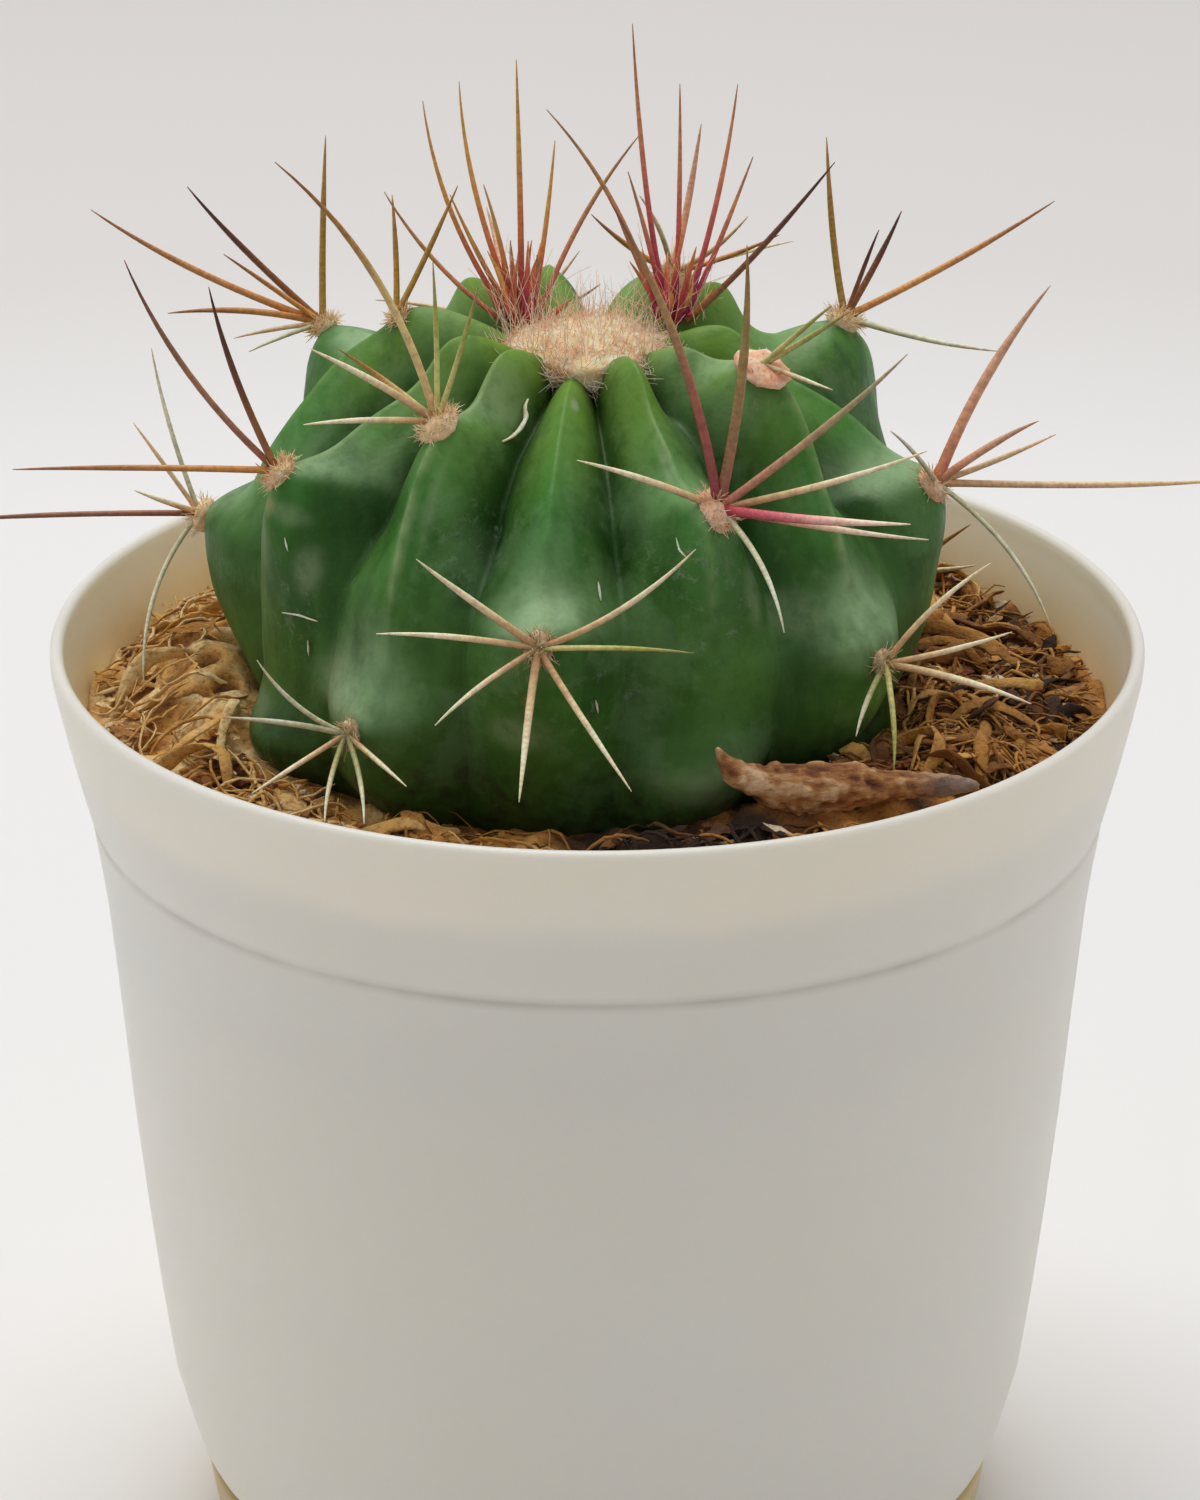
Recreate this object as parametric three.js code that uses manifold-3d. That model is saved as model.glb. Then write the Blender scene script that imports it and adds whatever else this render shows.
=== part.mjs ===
// A small ribbed barrel cactus in a white plastic pot that stands in a shallow tan dish.
// Millimetres, +Z up, the front at -Y. The origin is the centre of the dish's flat underside.
import * as THREE from "three";
import { mergeVertices } from "three/addons/utils/BufferGeometryUtils.js";
import Module from "manifold-3d";

const wasm = await Module();
wasm.setup();

const CLEARANCE = 0.3; // between pieces that touch
const ROUND_SIDES = 44; // flats round the pot, the dish and the soil

// Pot
const RIM_Z = 109;
const RIM_RADIUS = 60;
const WALL = 1.6;
const GROOVE_Z = 90;
const GROOVE_RADIUS = 56.3;
const GROOVE_DEPTH = 0.45;
const SHOULDER_Z = 10.2;
const SHOULDER_RADIUS = 43.4;
const FOOT_RADIUS = 41.8;
// Walls as [radius, height], upwards
const POT_OUTSIDE = [[46, 11.6], [47, 14.5], [48.8, 22], [51.2, 42], [53.4, 66], [54.5, 78.5], [55.2, 83.5]];
const POT_INSIDE = [[45, 15], [47, 21], [49.6, 42], [52.3, 72], [54.6, 90], [56.4, 98]];
const POT_FLOOR = 2;
const DRAIN_HOLES = 6;
const DRAIN_RADIUS = 3.5;
const DRAIN_CIRCLE = 27;

// Dish under the pot
const DISH_TOP_Z = SHOULDER_Z - CLEARANCE;
const DISH_TOP_RADIUS = 45.3;
const DISH_FOOT_RADIUS = 43.8;
const DISH_FLOOR = 2.4;

const POT_FLOOR_Z = DISH_FLOOR + CLEARANCE;

// Soil
const SOIL_Z = 99.9;
const MOUNDS = [
  { azimuth: -98, radius: 43, height: 6.5, spread: 36, width: 8 }, // husk heaped against the plant
  { azimuth: 38, radius: 44, height: 6, spread: 40, width: 9 },
];
const HUSK_CHIPS = 18;

// Plant: a flattened globe with ribs, and a swelling under each areole
const PLANT_X = -1.5;
const WAIST_Z = 117;
const WAIST_RADIUS = 37;
const CROWN_RISE = 26;
const ROOT_DROP = 29;
const BASE_SHIFT = new THREE.Vector3(-1.5, -2.5, 0); // the plant leans, so its base lies off its axis
const CROWN_DIMPLE = 2.4; // the crown is sunk this far between the tops of the ribs
const DIMPLE_POLAR = 15;
const CROWN_RIMS = [1, 4.2, 4, 4, 6, 4.4, 4.4, 5.5, 4, 4.5, 4.8]; // rise of each rib's end round the crown
const CROWN_RIM_POLAR = 17;
const CROWN_RIM_SPREAD = 8;
const FLATNESS = 2 / 2.35;
const RIBS = 11;
const RIB_DEPTH = 7;
const RIB_KEENNESS = 0.7; // near the crown the ribs have flat flanks, 0 would be fully round
const VALLEY_FADE = 0.7; // part of the valleys' depth that is lost towards the soil
const FRONT_RIB = -6.3; // azimuth in degrees, 0 at the front and growing to the right
const FRONT_CROWDING = 10; // ribs stand closer together at the front than at the back
const COLUMNS_PER_RIB = 8;
const BODY_ROWS = 26;
const BURIED_POLAR = 112; // below this polar angle the plant is in the soil
const BURIED_ROWS = 4;
const SWELLING = 4; // each areole sits on the outer edge of a swelling, which is flat above it
const SHELF = 6.5; // degrees over which the swelling falls away above the areole
const FLANK = 20; // and below it
const SWELLING_WIDTH = 14;
const TAPROOT_RADIUS = 6;
const TAPROOT_END_Z = 58;

// Areoles follow one spiral: each is three ribs on from the last and a little nearer the crown.
const SPIRAL_RIBS = 3;
const FIRST_RIB = -1;
const FIRST_POLAR = 97;
const POLAR_STEP = 5.2;
const SOIL_LINE_LIFT = 6; // the areoles next to the soil sit this many degrees higher than the spiral
const PAD = new THREE.Vector3(2.1, 2.7, 1.5); // half sizes across, towards the crown, outwards
const SPINE_TIP = 0.3;
const STOUT_SPINE = 0.6; // root radius from which a spine has four sides and not three
const STRAIGHT_STEPS = 1;
const BENT_STEPS = 3;

// Spines are given as they are seen from the front and a little above.
const VIEW_TILT = THREE.MathUtils.degToRad(23.3);
const SEEN_RIGHT = new THREE.Vector3(1, 0, 0);
const SEEN_UP = new THREE.Vector3(0, Math.sin(VIEW_TILT), Math.cos(VIEW_TILT));
const SEEN_NEAR = new THREE.Vector3(0, -Math.cos(VIEW_TILT), Math.sin(VIEW_TILT));

const OLD_SPINE = 0xc9a98c;
const YOUNG_SPINE = 0xa8324a;

// By number on the spiral: how many degrees the areole stands aside of its rib and away from the
// crown, and its spines as [clock angle from upwards, lean to the front, length, root radius, bow].
const FRONT_AREOLES = {
  0: {
    aside: -3.5,
    shift: 1.5,
    spines: [
      [-82, 15, 13, 0.5], [-123, 28, 13, 0.45], [-168, 34, 11.5, 0.45], [167, 36, 12, 0.45],
      [130, 35, 10.5, 0.45], [-50, 15, 12.5, 0.4, -1],
    ],
  },
  1: {
    shift: -0.8,
    spines: [
      [46, 10, 15.5, 0.5, -0.8], [76, 14, 14, 0.5], [106, 18, 16.5, 0.65], [177, 22, 12.5, 0.5],
      [-157, 20, 9, 0.5],
    ],
  },
  3: {
    aside: -4.3,
    shift: 4.8,
    swelling: 5.5,
    spines: [
      [-92, 4, 29.5, 0.5], [-71, 20, 8, 0.5], [-16, 5, 19, 0.4], [-36, 8, 12.5, 0.4],
      [-163, 12, 20.5, 0.4, 2],
    ],
  },
  4: {
    shift: 4.1,
    spines: [
      [-54, 14, 16, 0.65], [-85, 10, 17, 0.55], [-127, 18, 14, 0.5], [-173, 20, 17, 0.7],
      [147, 18, 18.5, 0.55], [92, 14, 16.5, 0.45], [58, 12, 19.5, 0.55, 1.2],
    ],
  },
  5: {
    aside: -3.1,
    shift: -1.8,
    spines: [
      [30, 4, 24.5, 0.95, -1], [59, 12, 13, 0.7], [68, 0, 14, 0.5], [89, -4, 34, 0.6],
      [142, 6, 20, 0.4, -1.5], [-48, 58, 14, 0.4],
    ],
  },
  7: {
    aside: -1,
    shift: -1.6,
    spines: [[-36, 4, 27.5, 0.55, -1.5], [-20, 14, 21, 0.6, -0.6], [-90, 4, 28, 0.55]],
  },
  8: {
    aside: 3.6,
    shift: -0.8,
    spines: [
      [-20, 14, 34.5, 0.8, 1.6], [6, 8, 27.5, 0.9, 0.8], [51, 18, 26, 0.7], [75, 16, 23, 0.6],
      [96, 30, 22.5, 0.85], [99, 14, 22.5, 0.6], [-72, 20, 16.5, 0.6], [153, 24, 16, 0.5, -1.2],
    ],
  },
  9: {
    shift: -5.3,
    swelling: 6.3,
    spines: [
      [-6, 2, 20, 0.6], [28, -4, 13.5, 0.6], [21, 14, 10.5, 0.4], [61, 0, 26.5, 0.6],
      [103, 6, 17.5, 0.5],
    ],
  },
  10: {
    shift: 11.3,
    swelling: 7,
    spines: [
      [-64, 0, 29, 0.65, -0.8], [-45, 6, 21.5, 0.6], [-56, 20, 14, 0.45], [1, 4, 21, 0.6],
      [-87, 8, 17.5, 0.6, 0.8], [-101, 16, 10.5, 0.4], [-113, 20, 9.5, 0.4],
    ],
  },
  11: {
    aside: -1.9,
    shift: -3.4,
    spines: [
      [-32, 10, 32, 0.65, 2.4], [-61, 26, 16.5, 0.65], [-54, 14, 13, 0.5], [-93, 28, 15.5, 0.55],
      [-1, 14, 17, 0.45], [18, 20, 15.5, 0.45],
    ],
  },
  12: {
    aside: -1.3,
    shift: -4.9,
    swelling: 9,
    spines: [[60, 20, 11, 0.5], [51, 28, 10.5, 0.45], [113, 34, 9.5, 0.4]],
  },
  14: { aside: 0.7, shift: -0.2, spines: [[-2, 2, 13, 0.5], [26, 8, 15.5, 0.5]] },
};
const BACK_AREOLES = [-2, -1, 2, 6, 13];
const YOUNG_SWELLING = { turn: 207, polar: 24, height: 4 }; // behind the crown, its areole still shut

// Young spines stand in two tufts and a few loose ones in the wool of the crown.
const CROWN_TUFTS = {
  crown_spines_left: {
    azimuth: -124,
    polar: 9.5,
    spines: [
      [-22, 4, 26, 0.5, -1.6], [-14, 8, 27, 0.55, -1], [-1, 4, 28.5, 0.6], [8, 10, 20.5, 0.5],
      [-13, 16, 16, 0.5], [-28, 10, 16, 0.5], [29, 0, 23.5, 0.5, -1], [-43, 12, 19.5, 0.45, -1],
    ],
  },
  crown_spines_right: {
    azimuth: 109,
    polar: 12,
    spines: [
      [-7, 4, 32.5, 0.55, -0.8], [1, 10, 25.5, 0.5], [13, 4, 26.5, 0.55, 0.6], [23, 12, 19, 0.5],
      [-15, 16, 17, 0.5], [-23, 10, 15.5, 0.45], [-29, 12, 26, 0.5, 1.4], [43, 0, 24, 0.6, 0.6],
    ],
  },
};
const TUFT_PAD = new THREE.Vector3(2.2, 2.2, 2.4);
const CROWN_WOOL = new THREE.Vector3(10, 9, 3.4);
const CROWN_WOOL_AT = new THREE.Vector3(-1, -1.6, 141.8);

// Bark piece that lies on the soil at the front right
const BARK_FROM = new THREE.Vector3(14.5, -40.2, 107.4);
const BARK_TO = new THREE.Vector3(39, -36, 106);
const BARK_RADIUS = 2.6;

const COLORS = {
  pot: 0xe4e0d8,
  dish: 0xb39a5c,
  soil: 0x7a5230,
  body: 0x35713f,
  wool: 0xcfa987,
  bark: 0x6e4227,
};

// Seeded numbers between -1 and 1
let seed = 20261127;
function jitter() {
  seed = (Math.imul(seed, 1664525) + 1013904223) >>> 0;
  return seed / 2147483648 - 1;
}

function solidOf(geometry) {
  const bare = geometry.clone();
  bare.deleteAttribute("normal");
  bare.deleteAttribute("uv");
  const merged = mergeVertices(bare, 1e-4);
  const mesh = new wasm.Mesh({
    numProp: 3,
    vertProperties: new Float32Array(merged.attributes.position.array),
    triVerts: new Uint32Array(merged.index.array),
  });
  return new wasm.Manifold(mesh);
}

function geometryOf(solid) {
  const mesh = solid.getMesh();
  const geometry = new THREE.BufferGeometry();
  geometry.setAttribute("position", new THREE.BufferAttribute(mesh.vertProperties, 3));
  geometry.setIndex(new THREE.BufferAttribute(mesh.triVerts, 1));
  return geometry;
}

// The biggest piece of a solid, without loose scraps
function wholePiece(solid) {
  return solid.decompose().reduce((a, b) => (a.volume() > b.volume() ? a : b));
}

function revolved(outline) {
  const points = outline.map(([radius, z]) => new THREE.Vector2(radius, z));
  return new THREE.LatheGeometry(points, ROUND_SIDES).rotateX(Math.PI / 2);
}

function part(name, geometry, color, roughness) {
  const material = new THREE.MeshStandardMaterial({ color, roughness, metalness: 0 });
  const mesh = new THREE.Mesh(geometry, material);
  mesh.name = name;
  return mesh;
}

// Pot and dish

function potSolid() {
  const floorTop = POT_FLOOR_Z + POT_FLOOR;
  let pot = solidOf(revolved([
    [0, POT_FLOOR_Z], [FOOT_RADIUS - 0.6, POT_FLOOR_Z], [FOOT_RADIUS, POT_FLOOR_Z + 0.6],
    [SHOULDER_RADIUS, SHOULDER_Z], [SHOULDER_RADIUS + 1.5, SHOULDER_Z + 0.2], ...POT_OUTSIDE,
    [GROOVE_RADIUS - 0.2, GROOVE_Z - 0.5], [GROOVE_RADIUS - GROOVE_DEPTH, GROOVE_Z],
    [GROOVE_RADIUS + 0.1, GROOVE_Z + 0.5], [58.1, 98], [RIM_RADIUS, RIM_Z - 1.4],
    [RIM_RADIUS - 0.15, RIM_Z - 0.4], [RIM_RADIUS - 0.8, RIM_Z], [RIM_RADIUS - 1.5, RIM_Z - 0.4],
    [RIM_RADIUS - WALL - 0.1, RIM_Z - 1.5], ...POT_INSIDE.toReversed(),
    [SHOULDER_RADIUS - WALL, SHOULDER_Z + 1.4], [FOOT_RADIUS - 1.8, floorTop + 0.4],
    [FOOT_RADIUS - 2.4, floorTop], [0, floorTop],
  ]));
  for (let i = 0; i < DRAIN_HOLES; i++) {
    const angle = (i * 2 * Math.PI) / DRAIN_HOLES;
    const drill = new THREE.CylinderGeometry(DRAIN_RADIUS, DRAIN_RADIUS, 4 * POT_FLOOR, 12);
    drill.rotateX(Math.PI / 2);
    drill.translate(DRAIN_CIRCLE * Math.cos(angle), DRAIN_CIRCLE * Math.sin(angle), POT_FLOOR_Z);
    pot = pot.subtract(solidOf(drill));
  }
  return pot;
}

function dishGeometry() {
  return revolved([
    [0, 0], [DISH_FOOT_RADIUS - 0.6, 0], [DISH_FOOT_RADIUS, 0.7],
    [DISH_TOP_RADIUS, DISH_TOP_Z - 0.7], [DISH_TOP_RADIUS - 0.5, DISH_TOP_Z],
    [DISH_TOP_RADIUS - 1.4, DISH_TOP_Z], [42.6, DISH_FLOOR + 0.8], [41.9, DISH_FLOOR], [0, DISH_FLOOR],
  ]);
}

// Soil

function soilHeight(x, y) {
  const radius = Math.hypot(x, y);
  const azimuth = THREE.MathUtils.radToDeg(Math.atan2(x, -y));
  let height = SOIL_Z;
  for (const mound of MOUNDS) {
    const off = THREE.MathUtils.euclideanModulo(azimuth - mound.azimuth + 180, 360) - 180;
    const away = (radius - mound.radius) / mound.width;
    height += mound.height * Math.exp(-((off / mound.spread) ** 2) - away ** 2);
  }
  height += 0.7 * Math.sin(x * 0.61 + 1.2) * Math.cos(y * 0.53);
  return height + 0.4 * Math.sin(x * 0.23 - y * 0.71);
}

function huskChip() {
  const length = 9 + 3 * jitter();
  const chip = new THREE.CylinderGeometry(0.9, 1.4, length, 4, 1);
  chip.scale(1, 1, 0.7);
  chip.rotateX(0.35 * jitter());
  chip.rotateZ(Math.PI * jitter());
  return chip;
}

function soilSolid(plantClear, barkClear) {
  const bottom = POT_FLOOR_Z + POT_FLOOR + CLEARANCE;
  const side = POT_INSIDE.map(([radius, z]) => [radius - CLEARANCE - 0.05, z]);
  const top = [56.4, 52, 47, 42, 37, 22, 0].map((radius) => [radius, SOIL_Z]);
  const geometry = revolved([
    [0, bottom], [FOOT_RADIUS - 2.6, bottom], [SHOULDER_RADIUS - 2.1, SHOULDER_Z + 1.6], ...side, ...top,
  ]);
  const position = geometry.attributes.position;
  for (let i = 0; i < position.count; i++) {
    if (position.getZ(i) < SOIL_Z - 1) continue;
    position.setZ(i, soilHeight(position.getX(i), position.getY(i)));
  }
  let soil = solidOf(geometry);
  for (let i = 0; i < HUSK_CHIPS; i++) {
    const azimuth = (2 * Math.PI * (i + 0.3 * jitter())) / HUSK_CHIPS;
    const radius = 46.5 + 3 * jitter();
    const x = radius * Math.sin(azimuth);
    const y = -radius * Math.cos(azimuth);
    const chip = huskChip().translate(x, y, soilHeight(x, y) + 0.3);
    soil = soil.add(solidOf(chip));
  }
  return wholePiece(soil.subtract(plantClear).subtract(barkClear));
}

function barkSolid(extra) {
  const span = new THREE.Vector3().subVectors(BARK_TO, BARK_FROM);
  const length = span.length();
  const thin = 0.5 * BARK_RADIUS + extra;
  const bark = new THREE.CylinderGeometry(thin, BARK_RADIUS + extra, length + 2 * extra, 9, 5);
  const position = bark.attributes.position;
  for (let i = 0; i < position.count; i++) {
    const along = position.getY(i) / length;
    const knob = 1 + 0.16 * Math.sin(along * 17 + 3 * Math.atan2(position.getX(i), position.getZ(i)));
    position.setX(i, position.getX(i) * knob + 1.1 * Math.sin(along * 4.4));
    position.setZ(i, position.getZ(i) * knob * 0.85);
  }
  const turn = new THREE.Quaternion().setFromUnitVectors(new THREE.Vector3(0, 1, 0), span.normalize());
  bark.applyQuaternion(turn);
  bark.translate(...BARK_FROM.clone().add(BARK_TO).multiplyScalar(0.5));
  return solidOf(bark);
}

// Plant

const RIB_STEP = 360 / RIBS;

// Turns are even steps round the plant, and ribs stand at whole multiples of RIB_STEP of them.
function azimuthOfTurn(turn) {
  return FRONT_RIB + turn - FRONT_CROWDING * Math.sin(THREE.MathUtils.degToRad(turn));
}

function ribOfAreole(number) {
  return THREE.MathUtils.euclideanModulo(number * SPIRAL_RIBS + FIRST_RIB, RIBS);
}

function turnOfAreole(number) {
  return ribOfAreole(number) * RIB_STEP + (FRONT_AREOLES[number]?.aside ?? 0);
}

function polarOfAreole(number) {
  const lift = number < 0 ? SOIL_LINE_LIFT : 0;
  return FIRST_POLAR - POLAR_STEP * number - lift + (FRONT_AREOLES[number]?.shift ?? 0);
}

const swellings = [YOUNG_SWELLING];
for (let number = -6; number <= 14; number++)
  swellings.push({
    turn: turnOfAreole(number),
    polar: polarOfAreole(number),
    height: FRONT_AREOLES[number]?.swelling ?? SWELLING,
  });

function relief(turn, polar) {
  const { smoothstep } = THREE.MathUtils;
  const flat = 2 * Math.abs(turn / RIB_STEP - Math.round(turn / RIB_STEP));
  const round = 1 - Math.abs(Math.cos((Math.PI * turn) / RIB_STEP)) ** 0.8;
  const keen = RIB_KEENNESS * smoothstep(polar, 8, 30) * (1 - smoothstep(polar, 58, 82));
  const sine = Math.sin(THREE.MathUtils.degToRad(polar));
  const buried = smoothstep(polar, BURIED_POLAR, BURIED_POLAR + 28);
  const depth = RIB_DEPTH * (1 - VALLEY_FADE * smoothstep(polar, 56, 90));
  const valley = round + keen * (flat - round);
  const rim = CROWN_RIMS[THREE.MathUtils.euclideanModulo(Math.round(turn / RIB_STEP), RIBS)];
  let out = -depth * valley * sine ** 0.6 * (1 - buried);
  out += rim * (1 - valley) * Math.exp(-(((polar - CROWN_RIM_POLAR) / CROWN_RIM_SPREAD) ** 2));
  out -= CROWN_DIMPLE * Math.exp(-((polar / DIMPLE_POLAR) ** 2));
  for (const swelling of swellings) {
    const aside = THREE.MathUtils.euclideanModulo(turn - swelling.turn + 180, 360) - 180;
    const above = swelling.polar - polar;
    const reach = above > 0 ? SHELF : FLANK;
    const fall = Math.exp(-((aside / SWELLING_WIDTH) ** 2) - (above / reach) ** 2);
    out += swelling.height * fall * sine ** 0.35 * (1 - buried);
  }
  return out;
}

function plantPoint(turn, polar, extra = 0) {
  const tilt = THREE.MathUtils.degToRad(polar);
  const azimuth = THREE.MathUtils.degToRad(azimuthOfTurn(turn));
  const rise = Math.cos(tilt);
  const across = WAIST_RADIUS * Math.sin(tilt) ** FLATNESS;
  const up = (rise > 0 ? CROWN_RISE : ROOT_DROP) * Math.sign(rise) * Math.abs(rise) ** FLATNESS;
  const point = new THREE.Vector3(across * Math.sin(azimuth), -across * Math.cos(azimuth), up);
  point.setLength(point.length() + relief(turn, polar) + extra);
  point.addScaledVector(BASE_SHIFT, THREE.MathUtils.smoothstep(polar, 90, 125));
  return point.add(new THREE.Vector3(PLANT_X, 0, WAIST_Z));
}

// Rows lie close above the soil and far apart below it.
function rowPolar(share) {
  const visible = 1 - BURIED_ROWS / BODY_ROWS;
  if (share < visible) return (share / visible) * BURIED_POLAR;
  return BURIED_POLAR + ((share - visible) / (1 - visible)) * (180 - BURIED_POLAR);
}

function bodySolid(extra) {
  const globe = new THREE.SphereGeometry(1, RIBS * COLUMNS_PER_RIB, BODY_ROWS);
  const position = globe.attributes.position;
  for (let i = 0; i < position.count; i++) {
    const x = position.getX(i);
    const z = position.getZ(i);
    const polar = rowPolar(Math.acos(THREE.MathUtils.clamp(position.getY(i), -1, 1)) / Math.PI);
    const turn = Math.hypot(x, z) < 1e-6 ? 0 : THREE.MathUtils.radToDeg(Math.atan2(x, z));
    position.setXYZ(i, ...plantPoint(turn, polar, extra));
  }
  const rootTop = WAIST_Z - ROOT_DROP + 6;
  const rootLength = rootTop - TAPROOT_END_Z;
  const root = new THREE.CylinderGeometry(TAPROOT_RADIUS + extra, 1.5 + extra, rootLength + extra, 10);
  root.rotateX(Math.PI / 2);
  root.translate(PLANT_X, 0, (rootTop + TAPROOT_END_Z - extra) / 2);
  return solidOf(globe).add(solidOf(root));
}

// Areoles and their spines

function areoleFrame(turn, polar) {
  const origin = plantPoint(turn, polar);
  const up = plantPoint(turn, polar - 2).sub(plantPoint(turn, polar + 2)).normalize();
  const side = plantPoint(turn + 2, polar).sub(plantPoint(turn - 2, polar)).normalize();
  const out = new THREE.Vector3().crossVectors(side, up).normalize();
  return { origin, up, out, side: new THREE.Vector3().crossVectors(up, out) };
}

function padSolid(frame, size) {
  const pad = new THREE.SphereGeometry(1, 7, 4);
  pad.scale(size.x, size.y, size.z);
  pad.applyMatrix4(new THREE.Matrix4().makeBasis(frame.side, frame.up, frame.out));
  pad.translate(...frame.origin);
  return solidOf(pad);
}

function spineSolid(root, way, length, radius, bow = 0) {
  const steps = bow ? BENT_STEPS : STRAIGHT_STEPS;
  const sides = radius < STOUT_SPINE ? 3 : 4;
  const spine = new THREE.CylinderGeometry(SPINE_TIP, radius, length, sides, steps);
  spine.translate(0, length / 2, 0);
  const position = spine.attributes.position;
  for (let i = 0; i < position.count; i++) {
    const along = position.getY(i) / length;
    position.setX(i, position.getX(i) + 4 * bow * along * (1 - along));
  }
  const aside = new THREE.Vector3().crossVectors(way, SEEN_NEAR).normalize();
  const across = new THREE.Vector3().crossVectors(aside, way);
  spine.applyMatrix4(new THREE.Matrix4().makeBasis(aside, way, across));
  spine.translate(...root);
  return solidOf(spine);
}

function seenWay(clock, lean) {
  const turn = THREE.MathUtils.degToRad(clock);
  const near = THREE.MathUtils.degToRad(lean);
  return new THREE.Vector3()
    .addScaledVector(SEEN_RIGHT, Math.sin(turn) * Math.cos(near))
    .addScaledVector(SEEN_UP, Math.cos(turn) * Math.cos(near))
    .addScaledVector(SEEN_NEAR, Math.sin(near));
}

// At the back the spines fan out evenly, but next to the soil only upwards and to the sides.
function backSpines(frame, number) {
  const low = number < 0;
  const count = low ? 5 : 7;
  const fan = low ? Math.PI : 2 * Math.PI;
  const spines = [];
  for (let i = 0; i < count; i++) {
    const turn = fan * ((i + 0.5 + 0.2 * jitter()) / count - 0.5);
    const lift = THREE.MathUtils.degToRad(28 + 6 * jitter());
    const way = new THREE.Vector3()
      .addScaledVector(frame.side, Math.sin(turn) * Math.cos(lift))
      .addScaledVector(frame.up, Math.cos(turn) * Math.cos(lift))
      .addScaledVector(frame.out, Math.sin(lift));
    const length = low ? 9 + jitter() : 14 + 2 * jitter() - 3 * Math.cos(turn);
    spines.push({ way, length, radius: 0.5 });
  }
  if (!low) spines.push({ way: frame.out.clone(), length: 17, radius: 0.7 });
  return spines;
}

function tuftSolid(frame, size, spines, plantClear) {
  const start = frame.origin.clone().addScaledVector(frame.out, 0.4 * size.z);
  let tuft = padSolid(frame, size);
  for (const { way, length, radius, bow } of spines)
    tuft = tuft.add(spineSolid(start, way, length, radius, bow));
  return wholePiece(tuft.subtract(plantClear));
}

function seenSpine([clock, lean, length, radius, bow]) {
  return { way: seenWay(clock, lean), length, radius, bow };
}

function areoleSolid(number, plantClear) {
  const frame = areoleFrame(turnOfAreole(number), polarOfAreole(number));
  const spines = FRONT_AREOLES[number]
    ? FRONT_AREOLES[number].spines.map(seenSpine)
    : backSpines(frame, number);
  return tuftSolid(frame, PAD, spines, plantClear);
}

function turnOfAzimuth(azimuth) {
  let turn = azimuth - FRONT_RIB;
  for (let i = 0; i < 20; i++)
    turn = azimuth - FRONT_RIB + FRONT_CROWDING * Math.sin(THREE.MathUtils.degToRad(turn));
  return turn;
}

function crownParts(plantClear) {
  const wool = new THREE.SphereGeometry(1, 13, 6).scale(...CROWN_WOOL).translate(...CROWN_WOOL_AT);
  let dome = solidOf(wool);
  const parts = [];
  for (const [name, tuft] of Object.entries(CROWN_TUFTS)) {
    const frame = areoleFrame(turnOfAzimuth(tuft.azimuth), tuft.polar);
    const solid = tuftSolid(frame, TUFT_PAD, tuft.spines.map(seenSpine), plantClear);
    parts.push(part(name, geometryOf(solid), YOUNG_SPINE, 0.5));
    const hole = new THREE.CylinderGeometry(TUFT_PAD.x + 1.2, TUFT_PAD.x + CLEARANCE, 12, 12);
    dome = dome.subtract(solidOf(hole.rotateX(Math.PI / 2).translate(...frame.origin)));
  }
  const woolSolid = wholePiece(dome.subtract(plantClear));
  parts.push(part("crown_wool", geometryOf(woolSolid), COLORS.wool, 0.95));
  return parts;
}

const plantClear = bodySolid(CLEARANCE + 0.05);
const cactus = new THREE.Group();
cactus.add(part("base_dish", dishGeometry(), COLORS.dish, 0.4));
cactus.add(part("pot", geometryOf(potSolid()), COLORS.pot, 0.4));
cactus.add(part("soil", geometryOf(soilSolid(plantClear, barkSolid(CLEARANCE))), COLORS.soil, 0.95));
cactus.add(part("bark_piece", geometryOf(barkSolid(0)), COLORS.bark, 0.9));
cactus.add(part("cactus_body", geometryOf(bodySolid(0)), COLORS.body, 0.45));
cactus.add(...crownParts(plantClear));
const numbers = [...Object.keys(FRONT_AREOLES).map(Number), ...BACK_AREOLES].sort((a, b) => a - b);
numbers.forEach((number, i) => {
  const name = "areole_" + String(i + 1).padStart(2, "0");
  cactus.add(part(name, geometryOf(areoleSolid(number, plantClear)), OLD_SPINE, 0.6));
});

export default cactus;
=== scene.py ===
"""A small barrel cactus in a white plastic pot: the looks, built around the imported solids.

Sizes and places below are millimetres and degrees in the frame of the solids, and turn into metres in the
meshes.
"""

import math

import bpy
import numpy as np
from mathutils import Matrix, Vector


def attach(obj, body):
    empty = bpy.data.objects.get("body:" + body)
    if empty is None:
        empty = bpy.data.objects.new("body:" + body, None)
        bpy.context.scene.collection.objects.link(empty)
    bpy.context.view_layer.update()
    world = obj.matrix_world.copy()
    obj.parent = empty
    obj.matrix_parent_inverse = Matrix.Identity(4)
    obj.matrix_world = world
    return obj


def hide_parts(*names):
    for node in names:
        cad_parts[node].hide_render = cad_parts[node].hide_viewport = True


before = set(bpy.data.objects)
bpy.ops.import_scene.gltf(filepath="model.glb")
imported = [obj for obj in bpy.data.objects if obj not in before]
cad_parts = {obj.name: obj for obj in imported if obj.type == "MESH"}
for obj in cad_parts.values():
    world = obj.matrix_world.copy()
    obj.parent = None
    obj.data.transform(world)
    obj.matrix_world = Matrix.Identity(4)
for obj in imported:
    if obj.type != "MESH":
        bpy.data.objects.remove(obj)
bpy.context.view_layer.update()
MM = 0.001
UP = np.array([0.0, 0.0, 1.0])

# Camera, as fitted to the pot's rim in the photograph
PITCH = 23.3
CAMERA_DISTANCE = 665
CAMERA_TARGET = (0.3, 0, 94.6)
LENS = 144
SENSOR = 36

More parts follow.
